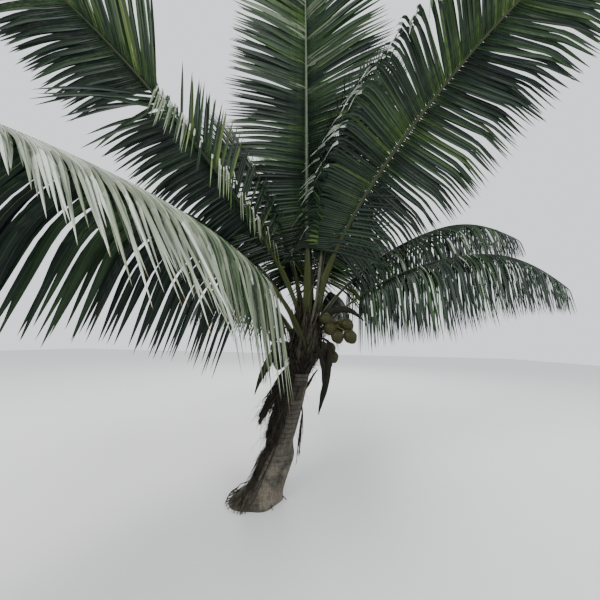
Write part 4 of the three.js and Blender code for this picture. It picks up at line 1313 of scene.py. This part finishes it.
def model_bunch(bunch, seed, pattern, cap, husk, settings):
    """A stalk that forks to its nuts, with caps and dry twigs."""
    rng = np.random.default_rng(seed)
    axis = stem_centre(bunch.height / 1000)
    out = spoke(bunch.azimuth)
    foot = axis + out * 0.06
    head = axis + out * (bunch.reach / 1000) + Vector((0, bunch.away, -bunch.fall)) / 1000
    middle = foot.lerp(head, 0.55) + UP * 0.05
    fork = foot.lerp(head, 0.72) + UP * 0.022
    nuts, caps, stalks, twigs = [], [], [tube([foot, middle, head], STALK_RADII, 10)], []
    for place in bunch.nuts:
        centre = head + Vector(place) / 1000
        tilt = UP.lerp((fork - centre).normalized(), 0.55).normalized()
        turned = UP.rotation_difference(tilt).to_matrix().to_4x4()
        spin = Matrix.Rotation(math.radians(float(rng.uniform(0, 360))), 4, "Z")
        size = Matrix.Scale(float(rng.uniform(0.95, 1.02)), 4)
        matrix = Matrix.Translation(centre) @ turned @ spin @ size
        nuts.append(placed_copy(pattern, matrix))
        caps.append(placed_copy(cap, matrix))
        crown = centre + tilt * settings.radius * 1.2
        stalks.append(tube([fork, fork.lerp(crown, 0.5) + UP * 0.012, crown], BRANCH_RADII, 8))
        for _ in range(settings.twigs_a_nut):
            base = fork.lerp(crown, float(rng.uniform(0.05, 0.9)))
            aim = Vector(rng.normal(0, 1, 3)).normalized() * float(rng.uniform(0.06, 0.15))
            twigs.append([tuple(base + aim * k - UP * (0.06 * k * k)) for k in np.linspace(0, 1, 7)])
    settle(join(nuts), bunch.name + "_husks", "nut", [husk], bunch.name)
    caps, stalks = join(caps), join(stalks)
    shade(caps, 40)
    shade(stalks, 50)
    twigs = threads_piece(np.array(twigs), rng.uniform(0.0016, 0.003, len(twigs)), 0.6)
    for part, piece in (("cap", caps), ("stalk", stalks), ("twig", twigs)):
        material = plain_material(f"{bunch.name}_{part}", *NUT_PARTS[part])
        settle(piece, f"{bunch.name}_{part}s", "nut", [material], bunch.name)


def model_nuts(settings):
    pattern = nut_pattern(settings.radius)
    cap = cap_pattern(settings.radius * 0.98)
    husk = husk_material(settings)
    for i, bunch in enumerate(BUNCHES):
        model_bunch(bunch, SEEDS["nuts"] + i, pattern, cap, husk, settings)
    bpy.data.objects.remove(pattern)
    bpy.data.objects.remove(cap)


# Spathes, dead leaves and the young leaf


def model_spathes(settings):
    for i, row in enumerate(DRY_SPATHES):
        piece = dry_shape(row, BOAT, 34, 0.78)[0]
        wrinkle(piece, 0.005, 12, i + 5, 60)
        shell = dry_material(row.name + "_dry", settings.spathe_dark, settings.spathe_brown)
        settle(piece, row.name + "_shell", "dry_spathe", [shell], row.name)


def model_dead_leaves(settings):
    rng = np.random.default_rng(SEEDS["dead leaves"])
    for i, row in enumerate(DEAD_LEAVES):
        blade, stations = dry_shape(row, BOAT, 34, 0.55)
        wrinkle(blade, 0.005, 16, i + 8, 60)
        strands = []
        for _ in range(9):
            offset = rng.uniform(-0.85, 0.85)
            first = int(rng.integers(0, 12))
            last = int(rng.integers(22, len(stations)))
            strand = []
            for k in np.linspace(first, last, 14):
                s = stations[round(k)]
                push = s.side * (offset * s.width / 1.1)
                strand.append(tuple(s.at + push + s.up * float(rng.normal(0, 0.004))))
            strands.append(strand)
        wide = 0.012 * (1 - 0.7 * np.linspace(0, 1, 14)[None, :])
        strips = strips_piece(np.array(strands), row.face, wide, SHRED_THICKNESS)
        paths, widths = torn_strips(stations[:24], settings.torn_strips, rng, 0.013, 0.5, 0.12)
        tatters = strips_piece(paths, row.face, widths, TATTER_THICKNESS)
        for piece, name, finish in ((blade, "_blade", "_dry"), (strips, "_strips", "_strip"),
                                    (tatters, "_tatters", "_tatter")):
            material = dry_material(row.name + finish, settings.leaf_dark, settings.leaf_grey)
            settle(piece, row.name + name, "dry_spathe", [material], row.name)


def model_spear(settings):
    piece, stations = dry_shape(SPEAR, PLEATS, 44, 0.42, 0.5)
    shade(piece, 30)
    folds = dry_material("spear_pale", settings.spear_dark, settings.spear_pale)
    settle(piece, "spear_pleats", "spear", [folds], "spear")
    rng = np.random.default_rng(SEEDS["spear"])
    strands = []
    for _ in range(settings.spear_threads):
        s = stations[int(rng.integers(9, 30))]
        fall = rng.uniform(0.2, 0.5)
        push = s.side * float(rng.normal(0, 0.09)) + s.up * float(rng.uniform(-0.08, 0.02))
        strands.append([tuple(s.at + push * math.sin(2.4 * k) - UP * (fall * k))
                        for k in np.linspace(0, 1, 12)])
    threads = threads_piece(np.array(strands), rng.uniform(0.0012, 0.0026, len(strands)))
    settle(threads, "spear_threads", "spear",
           [plain_material("spear_thread", settings.spear_dark, settings.spear_pale, 30)], "spear")


# Materials


def plain_material(name, dark, light, scale):
    m = Shader(name, 0.75, 0.15)
    m.colour(m.mix(m.noise(scale).clamped(0.3, 0.7), dark, light))
    return m.material


def toned(colour, share):
    """A colour made darker or paler by a share."""
    return tuple(min(1.0, c * share) for c in colour)


def leaf_material(name, colour, roughness, specular=0.16):
    """A leaf tone with a slight drift, plain enough to be baked onto joined leaves."""
    m = Shader(name, roughness, specular)
    m.colour(m.mix(m.noise(5, detail=3).clamped(0.3, 0.7), toned(colour, 0.8), toned(colour, 1.2)))
    return m.material


def rib_material(name, petiole, rib, tip):
    m = Shader(name, 0.45, 0.1)
    along = m.attribute("along")
    base = m.ramp(along, (0.0, toned(petiole, 0.7)), (0.14, petiole), (0.24, rib), (1.0, tip))
    mottle = m.noise(26).clamped(0.35, 0.7)
    m.colour(m.mix(mottle * 0.35, base, (0.03, 0.03, 0.014)))
    return m.bump(m.noise(90), 0.25, 0.002)


def bark_material(settings):
    m = Shader("bark_rings", 0.88, 0.15)
    relief = m.attribute("relief")
    blotch = m.noise(11, detail=6)
    base = m.ramp(relief, (0.0, toned(settings.bark_dark, 0.22)), (0.32, settings.bark_dark),
                  (0.62, settings.bark_grey), (1.0, settings.bark_pale))
    height = m.node("ShaderNodeSeparateXYZ", {}, m.place(), output=HEIGHT_OF_XYZ)
    lichen = blotch.clamped(0.56, 0.68) * 0.5
    base = m.mix(lichen, base, settings.lichen)
    streaks = m.noise(70, stretch=(1, 1, 0.22), detail=7).clamped(0.42, 0.62) * 0.6 + 0.4
    worn = m.noise(7, detail=4).clamped(0.44, 0.60) * (1 - height.clamped(0.28, 0.52))
    m.colour(m.mix(worn * streaks * 0.7, base, settings.bark_tan))
    grain = m.noise(55, stretch=(1, 1, 0.35), detail=8, roughness=0.65)
    fine = m.noise(210, detail=5)
    m.rough(grain.clamped(0.2, 0.8) * -0.15 + 0.95)
    return m.bump(grain + fine * 0.35, 0.55, 0.006)


def root_material():
    m = Shader("root_brown", 0.85, 0.15)
    m.colour(m.mix(m.noise(40).clamped(0.3, 0.7), (0.026, 0.022, 0.016), (0.085, 0.074, 0.056)))
    return m.bump(m.noise(160), 0.5, 0.003)


def sheath_material(name, dark, light):
    m = Shader(name, 0.9, 0.1)
    strands = m.noise(140, stretch=(1, 1, 0.12), detail=5)
    patches = m.noise(13, detail=4)
    share = (strands.clamped(0.38, 0.66) * 0.6) + (patches.clamped(0.4, 0.7) * 0.4)
    m.colour(m.mix(share, dark, light))
    return m.bump(strands, 0.7, 0.005)


def dry_material(name, dark, light):
    m = Shader(name, 0.7, 0.08)
    veins = m.noise(120, stretch=(1, 1, 0.08), detail=4)
    patches = m.noise(10, detail=5)
    share = (veins.clamped(0.4, 0.62) * 0.5) + (patches.clamped(0.38, 0.66) * 0.5)
    m.colour(m.mix(share, dark, light))
    return m.bump(veins, 0.45, 0.003)


def husk_material(settings):
    m = Shader("husk", 0.42, 0.1)
    patches = m.noise(16, detail=5)
    specks = m.noise(120, detail=3)
    base = m.mix(patches.clamped(0.36, 0.62), settings.husk_green, settings.husk_brown)
    m.colour(m.mix(specks.clamped(0.56, 0.66) * 0.6, base, (0.03, 0.024, 0.012)))
    m.rough(patches.clamped(0.3, 0.7) * 0.2 + 0.36)
    return m.bump(specks, 0.2, 0.002)


def floor_material(settings):
    m = Shader("studio_floor", 0.7, 0.3)
    m.colour(m.mix(m.noise(1.5), toned(settings.floor, 0.98), settings.floor))
    return m.material


# Leaf tones, each with its upper side and its underside. The first tone is painted shade, and each
# underside is painted darker than its upper side as shade, though the real undersides are paler. The
# yellow-green fifth tone paints sunlight shining through the blades, the grey-green sixth paints a soft
# sheen, and the palest, last one paints the bright reflection off glossy blades.
LEAF_TONES = (
    ("shade", (0.007, 0.016, 0.009), (0.005, 0.011, 0.009)),
    ("deep", (0.012, 0.030, 0.011), (0.009, 0.020, 0.013)),
    ("green", (0.023, 0.056, 0.013), (0.015, 0.034, 0.014)),
    ("fresh", (0.055, 0.105, 0.018), (0.030, 0.056, 0.017)),
    ("lime", (0.130, 0.190, 0.040), (0.070, 0.105, 0.028)),
    ("ash", (0.170, 0.205, 0.135), (0.100, 0.125, 0.080)),
    ("silver", (0.420, 0.460, 0.390), (0.180, 0.205, 0.150)),
)


def leaf_materials():
    """Upper tones, undersides, dry tips and the midrib, in the order that the blades count on."""
    upper = [leaf_material("leaf_" + name, top, 0.36, 0.22) for name, top, below in LEAF_TONES]
    under = [leaf_material("leaf_under_" + name, below, 0.5) for name, top, below in LEAF_TONES]
    return upper + under + [leaf_material("leaf_dry", (0.17, 0.125, 0.065), 0.7),
                            leaf_material("leaf_midrib", (0.055, 0.075, 0.030), 0.5)]


def model_fronds(settings):
    tones = leaf_materials()
    green = rib_material("rib_green", settings.petiole, settings.rib, settings.rib_tip)
    dark = rib_material("rib_shaded", settings.petiole, (0.022, 0.028, 0.014), (0.05, 0.06, 0.03))
    straw = rib_material("rib_straw", settings.petiole, (0.16, 0.15, 0.06), (0.24, 0.22, 0.11))
    ribs = {"frond_front_upright": green, "frond_left_low": straw}
    for i, f in enumerate(FRONDS):
        line = rib_line(f)
        nodes = frond_nodes(f)
        if not nodes:
            raise RuntimeError(f.name + " is not in the packed model")
        settle(rib_piece(f, line), f.name + "_rib", "frond", [ribs.get(f.name, dark)], *nodes)
        leaves = leaflets_piece(f, line, settings, SEEDS["leaflets"] + i)
        settle(leaves, f.name + "_leaflets", "frond", tones, *nodes)


# Settings


def length(name, description, default):
    return bpy.props.FloatProperty(name=name, description=description, default=default, min=0,
                                   unit="LENGTH")


def amount(name, description, default):
    return bpy.props.FloatProperty(name=name, description=description, default=default, min=0)


def angle(name, description, degrees):
    return bpy.props.FloatProperty(name=name, description=description, default=math.radians(degrees),
                                   subtype="ANGLE")


def colour(name, description, default):
    return bpy.props.FloatVectorProperty(name=name, description=description, default=default, size=3,
                                         min=0, max=1, subtype="COLOR")


def number(name, description, default):
    return bpy.props.IntProperty(name=name, description=description, default=default, min=1)


class TrunkSettings(bpy.types.PropertyGroup):
    scar_spacing: length("Scar spacing", "Height between two ring scars", 0.045)
    scar_depth: length("Scar depth", "How deep a ring scar lies", 0.005)
    crack_depth: length("Crack depth", "How deep the upright cracks are", 0.004)
    bark_dark: colour("Dark bark", "Colour in the scars and cracks", (0.032, 0.029, 0.024))
    bark_grey: colour("Grey bark", "Main colour of the bark", (0.078, 0.071, 0.059))
    bark_pale: colour("Pale bark", "Colour of the worn edges", (0.15, 0.138, 0.115))
    bark_tan: colour("Worn bark", "Colour where the foot is weathered", (0.20, 0.172, 0.132))
    lichen: colour("Lichen", "Grey-green film", (0.075, 0.085, 0.06))


class SheathSettings(bpy.types.PropertyGroup):
    weave_strips: number("Strips", "Flat strips of woven fibre round the crown", 260)
    cloth_flaps: number("Cloth flaps", "Flaps of woven sheath that stand round the leaf stalks", 44)
    web_flaps: number("Web flaps", "Flaps of woven sheath between the left and the front stalk", 30)
    loose_fibres: number("Loose threads", "Threads that stand off the crown", 520)
    sheath_threads: number("Hanging threads", "Threads on each dead sheath", 240)
    torn_strips: number("Torn strips", "Loose strips on each dead sheath", 130)
    clinging_strips: number("Clinging strips", "Dry strips down the trunk's left side", 240)
    # The fibre colours are near black, with the shade under the crown painted into them; the dark fibre
    # also paints the shade deep in the matting, laid by noise.
    dark: colour("Dark fibre", "Colour deep in the fibre", (0.005, 0.0045, 0.004))
    brown: colour("Brown fibre", "Main colour of the fibre", (0.012, 0.0105, 0.0075))
    pale: colour("Pale fibre", "Colour of loose dry threads", (0.062, 0.053, 0.038))


class FrondSettings(bpy.types.PropertyGroup):
    leaflets_a_side: number("Leaflets a side", "Leaflets on each side of a rib", 136)
    leaflet_length: length("Leaflet length", "Length of the longest leaflet", 1.04)
    leaflet_width: length("Leaflet width", "Width of a leaflet laid flat", 0.048)
    bunching: amount("Bunching", "Degrees that neighbours lean together", 3.0)
    petiole: colour("Petiole", "Colour of the leaf stalk", (0.027, 0.035, 0.009))
    rib: colour("Rib", "Colour of the rib where leaflets start", (0.055, 0.075, 0.055))
    rib_tip: colour("Rib tip", "Colour of the thin end of the rib", (0.10, 0.13, 0.08))


class NutSettings(bpy.types.PropertyGroup):
    radius: length("Radius", "Radius of a nut", 0.068)
    twigs_a_nut: number("Twigs a nut", "Dry twigs beside each nut", 7)
    husk_green: colour("Green husk", "Colour of a young husk", (0.019, 0.025, 0.007))
    husk_brown: colour("Brown husk", "Colour of a ripening husk", (0.026, 0.022, 0.009))


class DrySettings(bpy.types.PropertyGroup):
    spathe_dark: colour("Dark spathe", "Shaded colour of a dry spathe", (0.006, 0.0065, 0.005))
    spathe_brown: colour("Brown spathe", "Worn colour of a dry spathe", (0.016, 0.0155, 0.011))
    torn_strips: number("Tatters", "Torn strips on each dead leaf", 36)
    leaf_dark: colour("Dark dead leaf", "Shaded colour of a dead leaf", (0.007, 0.008, 0.005))
    leaf_grey: colour("Grey dead leaf", "Worn colour of a dead leaf", (0.036, 0.036, 0.024))
    spear_threads: number("Spear threads", "Threads that have come off the young leaf", 9)
    spear_dark: colour("Spear folds", "Colour in the young leaf's folds", (0.035, 0.035, 0.028))
    spear_pale: colour("Spear", "Colour of the folded young leaf", (0.10, 0.095, 0.080))


class StageSettings(bpy.types.PropertyGroup):
    lens: bpy.props.FloatProperty(name="Lens", description="Focal length on a 36 mm wide sensor",
                                  default=13.5, min=1, unit="CAMERA")
    pitch: angle("Pitch", "How far the camera looks up", 10.8)
    roll: angle("Roll", "How far the camera is tilted to one side", 1.4)
    camera: bpy.props.FloatVectorProperty(name="Camera", description="Where the camera stands",
                                          default=(0.337, -2.556, 1.5), size=3, subtype="TRANSLATION")
    floor: colour("Floor", "Colour of the plain floor", (0.72, 0.72, 0.71))
    world: colour("Surround", "Colour of the plain surround", (0.80, 0.82, 0.85))
    world_power: amount("Surround strength", "Brightness of the surround", 1.5)


def group(kind, name, description):
    return bpy.props.PointerProperty(type=kind, name=name, description=description)


class PalmSettings(bpy.types.PropertyGroup):
    trunk: group(TrunkSettings, "Trunk", "Trunk and roots")
    sheath: group(SheathSettings, "Sheath", "Fibre round the crown")
    fronds: group(FrondSettings, "Fronds", "Ribs and leaflets")
    nuts: group(NutSettings, "Nuts", "Bunches of nuts")
    dry: group(DrySettings, "Dry pieces", "Spathes and dead leaves")
    stage: group(StageSettings, "Stage", "Floor, lights and camera")


# Stage: the lights have a name, a place, what they look at, size, power and tint
SENSOR_WIDTH = 36
LIGHTS = (
    ("key", (-6.5, -7.5, 9.5), (0.4, 0, 3), 6, 1500, (1.0, 0.985, 0.96)),
    ("fill", (8, -6, 6), (0.4, 0, 2.5), 7, 450, (0.94, 0.97, 1.0)),
    ("back", (2, 9, 10), (0.4, 0, 3), 8, 900, (1.0, 1.0, 1.0)),
)


def area_light(name, at, target, size, power, tint):
    data = bpy.data.lights.new(name, "AREA")
    data.shape = "DISK"
    data.size = size
    data.energy = power
    data.color = tint
    lamp = bpy.data.objects.new(name, data)
    bpy.context.scene.collection.objects.link(lamp)
    lamp.location = at
    lamp.rotation_euler = (Vector(target) - Vector(at)).to_track_quat("-Z", "Y").to_euler()


def set_stage(settings):
    select_only()
    bpy.ops.mesh.primitive_plane_add(size=60, location=(0, 0, 0))
    floor = bpy.context.active_object
    floor.name = "studio_floor"
    floor.data.materials.append(floor_material(settings))

    world = bpy.data.worlds.new("studio")
    bpy.context.scene.world = world
    world.use_nodes = True
    background = world.node_tree.nodes["Background"]
    background.inputs["Color"].default_value = (*settings.world, 1)
    background.inputs["Strength"].default_value = settings.world_power

    for light in LIGHTS:
        area_light(*light)
    set_camera(settings)


def set_camera(settings):
    """Stands the camera where the photograph was taken from, turned the same way."""
    pitch, roll = settings.pitch, settings.roll
    forward = Vector((0, math.cos(pitch), math.sin(pitch)))
    above = Vector((0, -math.sin(pitch), math.cos(pitch)))
    right = ACROSS * math.cos(roll) + above * math.sin(roll)
    up = above * math.cos(roll) - ACROSS * math.sin(roll)
    turned = Matrix((right, up, -forward)).transposed().to_4x4()
    data = bpy.data.cameras.new("camera")
    data.sensor_width = SENSOR_WIDTH
    data.lens = settings.lens
    data.clip_end = 200
    camera = bpy.data.objects.new("camera", data)
    bpy.context.scene.collection.objects.link(camera)
    camera.matrix_world = Matrix.Translation(settings.camera) @ turned
    bpy.context.scene.camera = camera


# Operators and panel


class PALM_OT_trunk(bpy.types.Operator):
    """Model the ringed bark of the leaning trunk and the roots at its foot"""

    bl_idname = "palm.trunk"
    bl_label = "Trunk and roots"

    def execute(self, context):
        model_trunk(context.scene.palm.trunk)
        return {"FINISHED"}


class PALM_OT_sheath(bpy.types.Operator):
    """Model the matted fibre that wraps the crown"""

    bl_idname = "palm.sheath"
    bl_label = "Crown fibre"

    def execute(self, context):
        model_sheath(context.scene.palm.sheath)
        return {"FINISHED"}


class PALM_OT_dry_sheaths(bpy.types.Operator):
    """Model the dead sheaths that hang beside the trunk"""

    bl_idname = "palm.dry_sheaths"
    bl_label = "Dead sheaths"

    def execute(self, context):
        model_dry_sheaths(context.scene.palm.sheath)
        return {"FINISHED"}


class PALM_OT_leaf_bases(bpy.types.Operator):
    """Model the stubs of old leaves on the trunk"""

    bl_idname = "palm.leaf_bases"
    bl_label = "Old leaf bases"

    def execute(self, context):
        model_leaf_bases(context.scene.palm.sheath)
        return {"FINISHED"}


class PALM_OT_fronds(bpy.types.Operator):
    """Grow the fronds: each has a rib and its folded leaflets"""

    bl_idname = "palm.fronds"
    bl_label = "Fronds"

    def execute(self, context):
        model_fronds(context.scene.palm.fronds)
        return {"FINISHED"}


class PALM_OT_nuts(bpy.types.Operator):
    """Model the bunches of nuts with caps, stalks and twigs"""

    bl_idname = "palm.nuts"
    bl_label = "Nuts"

    def execute(self, context):
        model_nuts(context.scene.palm.nuts)
        return {"FINISHED"}


class PALM_OT_spathes(bpy.types.Operator):
    """Model the dry spathes on the right"""

    bl_idname = "palm.spathes"
    bl_label = "Spathes"

    def execute(self, context):
        model_spathes(context.scene.palm.dry)
        return {"FINISHED"}


class PALM_OT_dead_leaves(bpy.types.Operator):
    """Model the dead leaves that hang from the crown"""

    bl_idname = "palm.dead_leaves"
    bl_label = "Dead leaves"

    def execute(self, context):
        model_dead_leaves(context.scene.palm.dry)
        return {"FINISHED"}


class PALM_OT_spear(bpy.types.Operator):
    """Model the folded young leaf in the middle of the crown"""

    bl_idname = "palm.spear"
    bl_label = "Young leaf"

    def execute(self, context):
        model_spear(context.scene.palm.dry)
        return {"FINISHED"}


class PALM_OT_stage(bpy.types.Operator):
    """Set the floor, the lights and the camera"""

    bl_idname = "palm.stage"
    bl_label = "Stage"

    def execute(self, context):
        set_stage(context.scene.palm.stage)
        return {"FINISHED"}


OPERATORS = (PALM_OT_stage, PALM_OT_trunk, PALM_OT_sheath, PALM_OT_leaf_bases, PALM_OT_dry_sheaths,
             PALM_OT_fronds, PALM_OT_nuts, PALM_OT_spathes, PALM_OT_dead_leaves, PALM_OT_spear)


class PALM_PT_panel(bpy.types.Panel):
    """Lists the palm's pieces and their settings"""

    bl_idname = "PALM_PT_panel"
    bl_label = "Coconut palm"
    bl_space_type = "VIEW_3D"
    bl_region_type = "UI"
    bl_category = "Palm"

    def draw(self, context):
        for operator in OPERATORS:
            self.layout.operator(operator.bl_idname)
        palm = context.scene.palm
        for part in PalmSettings.__annotations__:
            settings = getattr(palm, part)
            box = self.layout.box()
            for key in settings.__annotations__:
                box.prop(settings, key)


CLASSES = (TrunkSettings, SheathSettings, FrondSettings, NutSettings, DrySettings, StageSettings,
           PalmSettings, *OPERATORS, PALM_PT_panel)


def register():
    for each in CLASSES:
        bpy.utils.register_class(each)
    bpy.types.Scene.palm = bpy.props.PointerProperty(type=PalmSettings)


def unregister():
    del bpy.types.Scene.palm
    for each in reversed(CLASSES):
        bpy.utils.unregister_class(each)


def main():
    register()
    bpy.ops.palm.stage()
    bpy.ops.palm.trunk()
    bpy.ops.palm.sheath()
    bpy.ops.palm.leaf_bases()
    bpy.ops.palm.dry_sheaths()
    bpy.ops.palm.fronds()
    bpy.ops.palm.nuts()
    bpy.ops.palm.spathes()
    bpy.ops.palm.dead_leaves()
    bpy.ops.palm.spear()


if __name__ == "__main__":
    main()
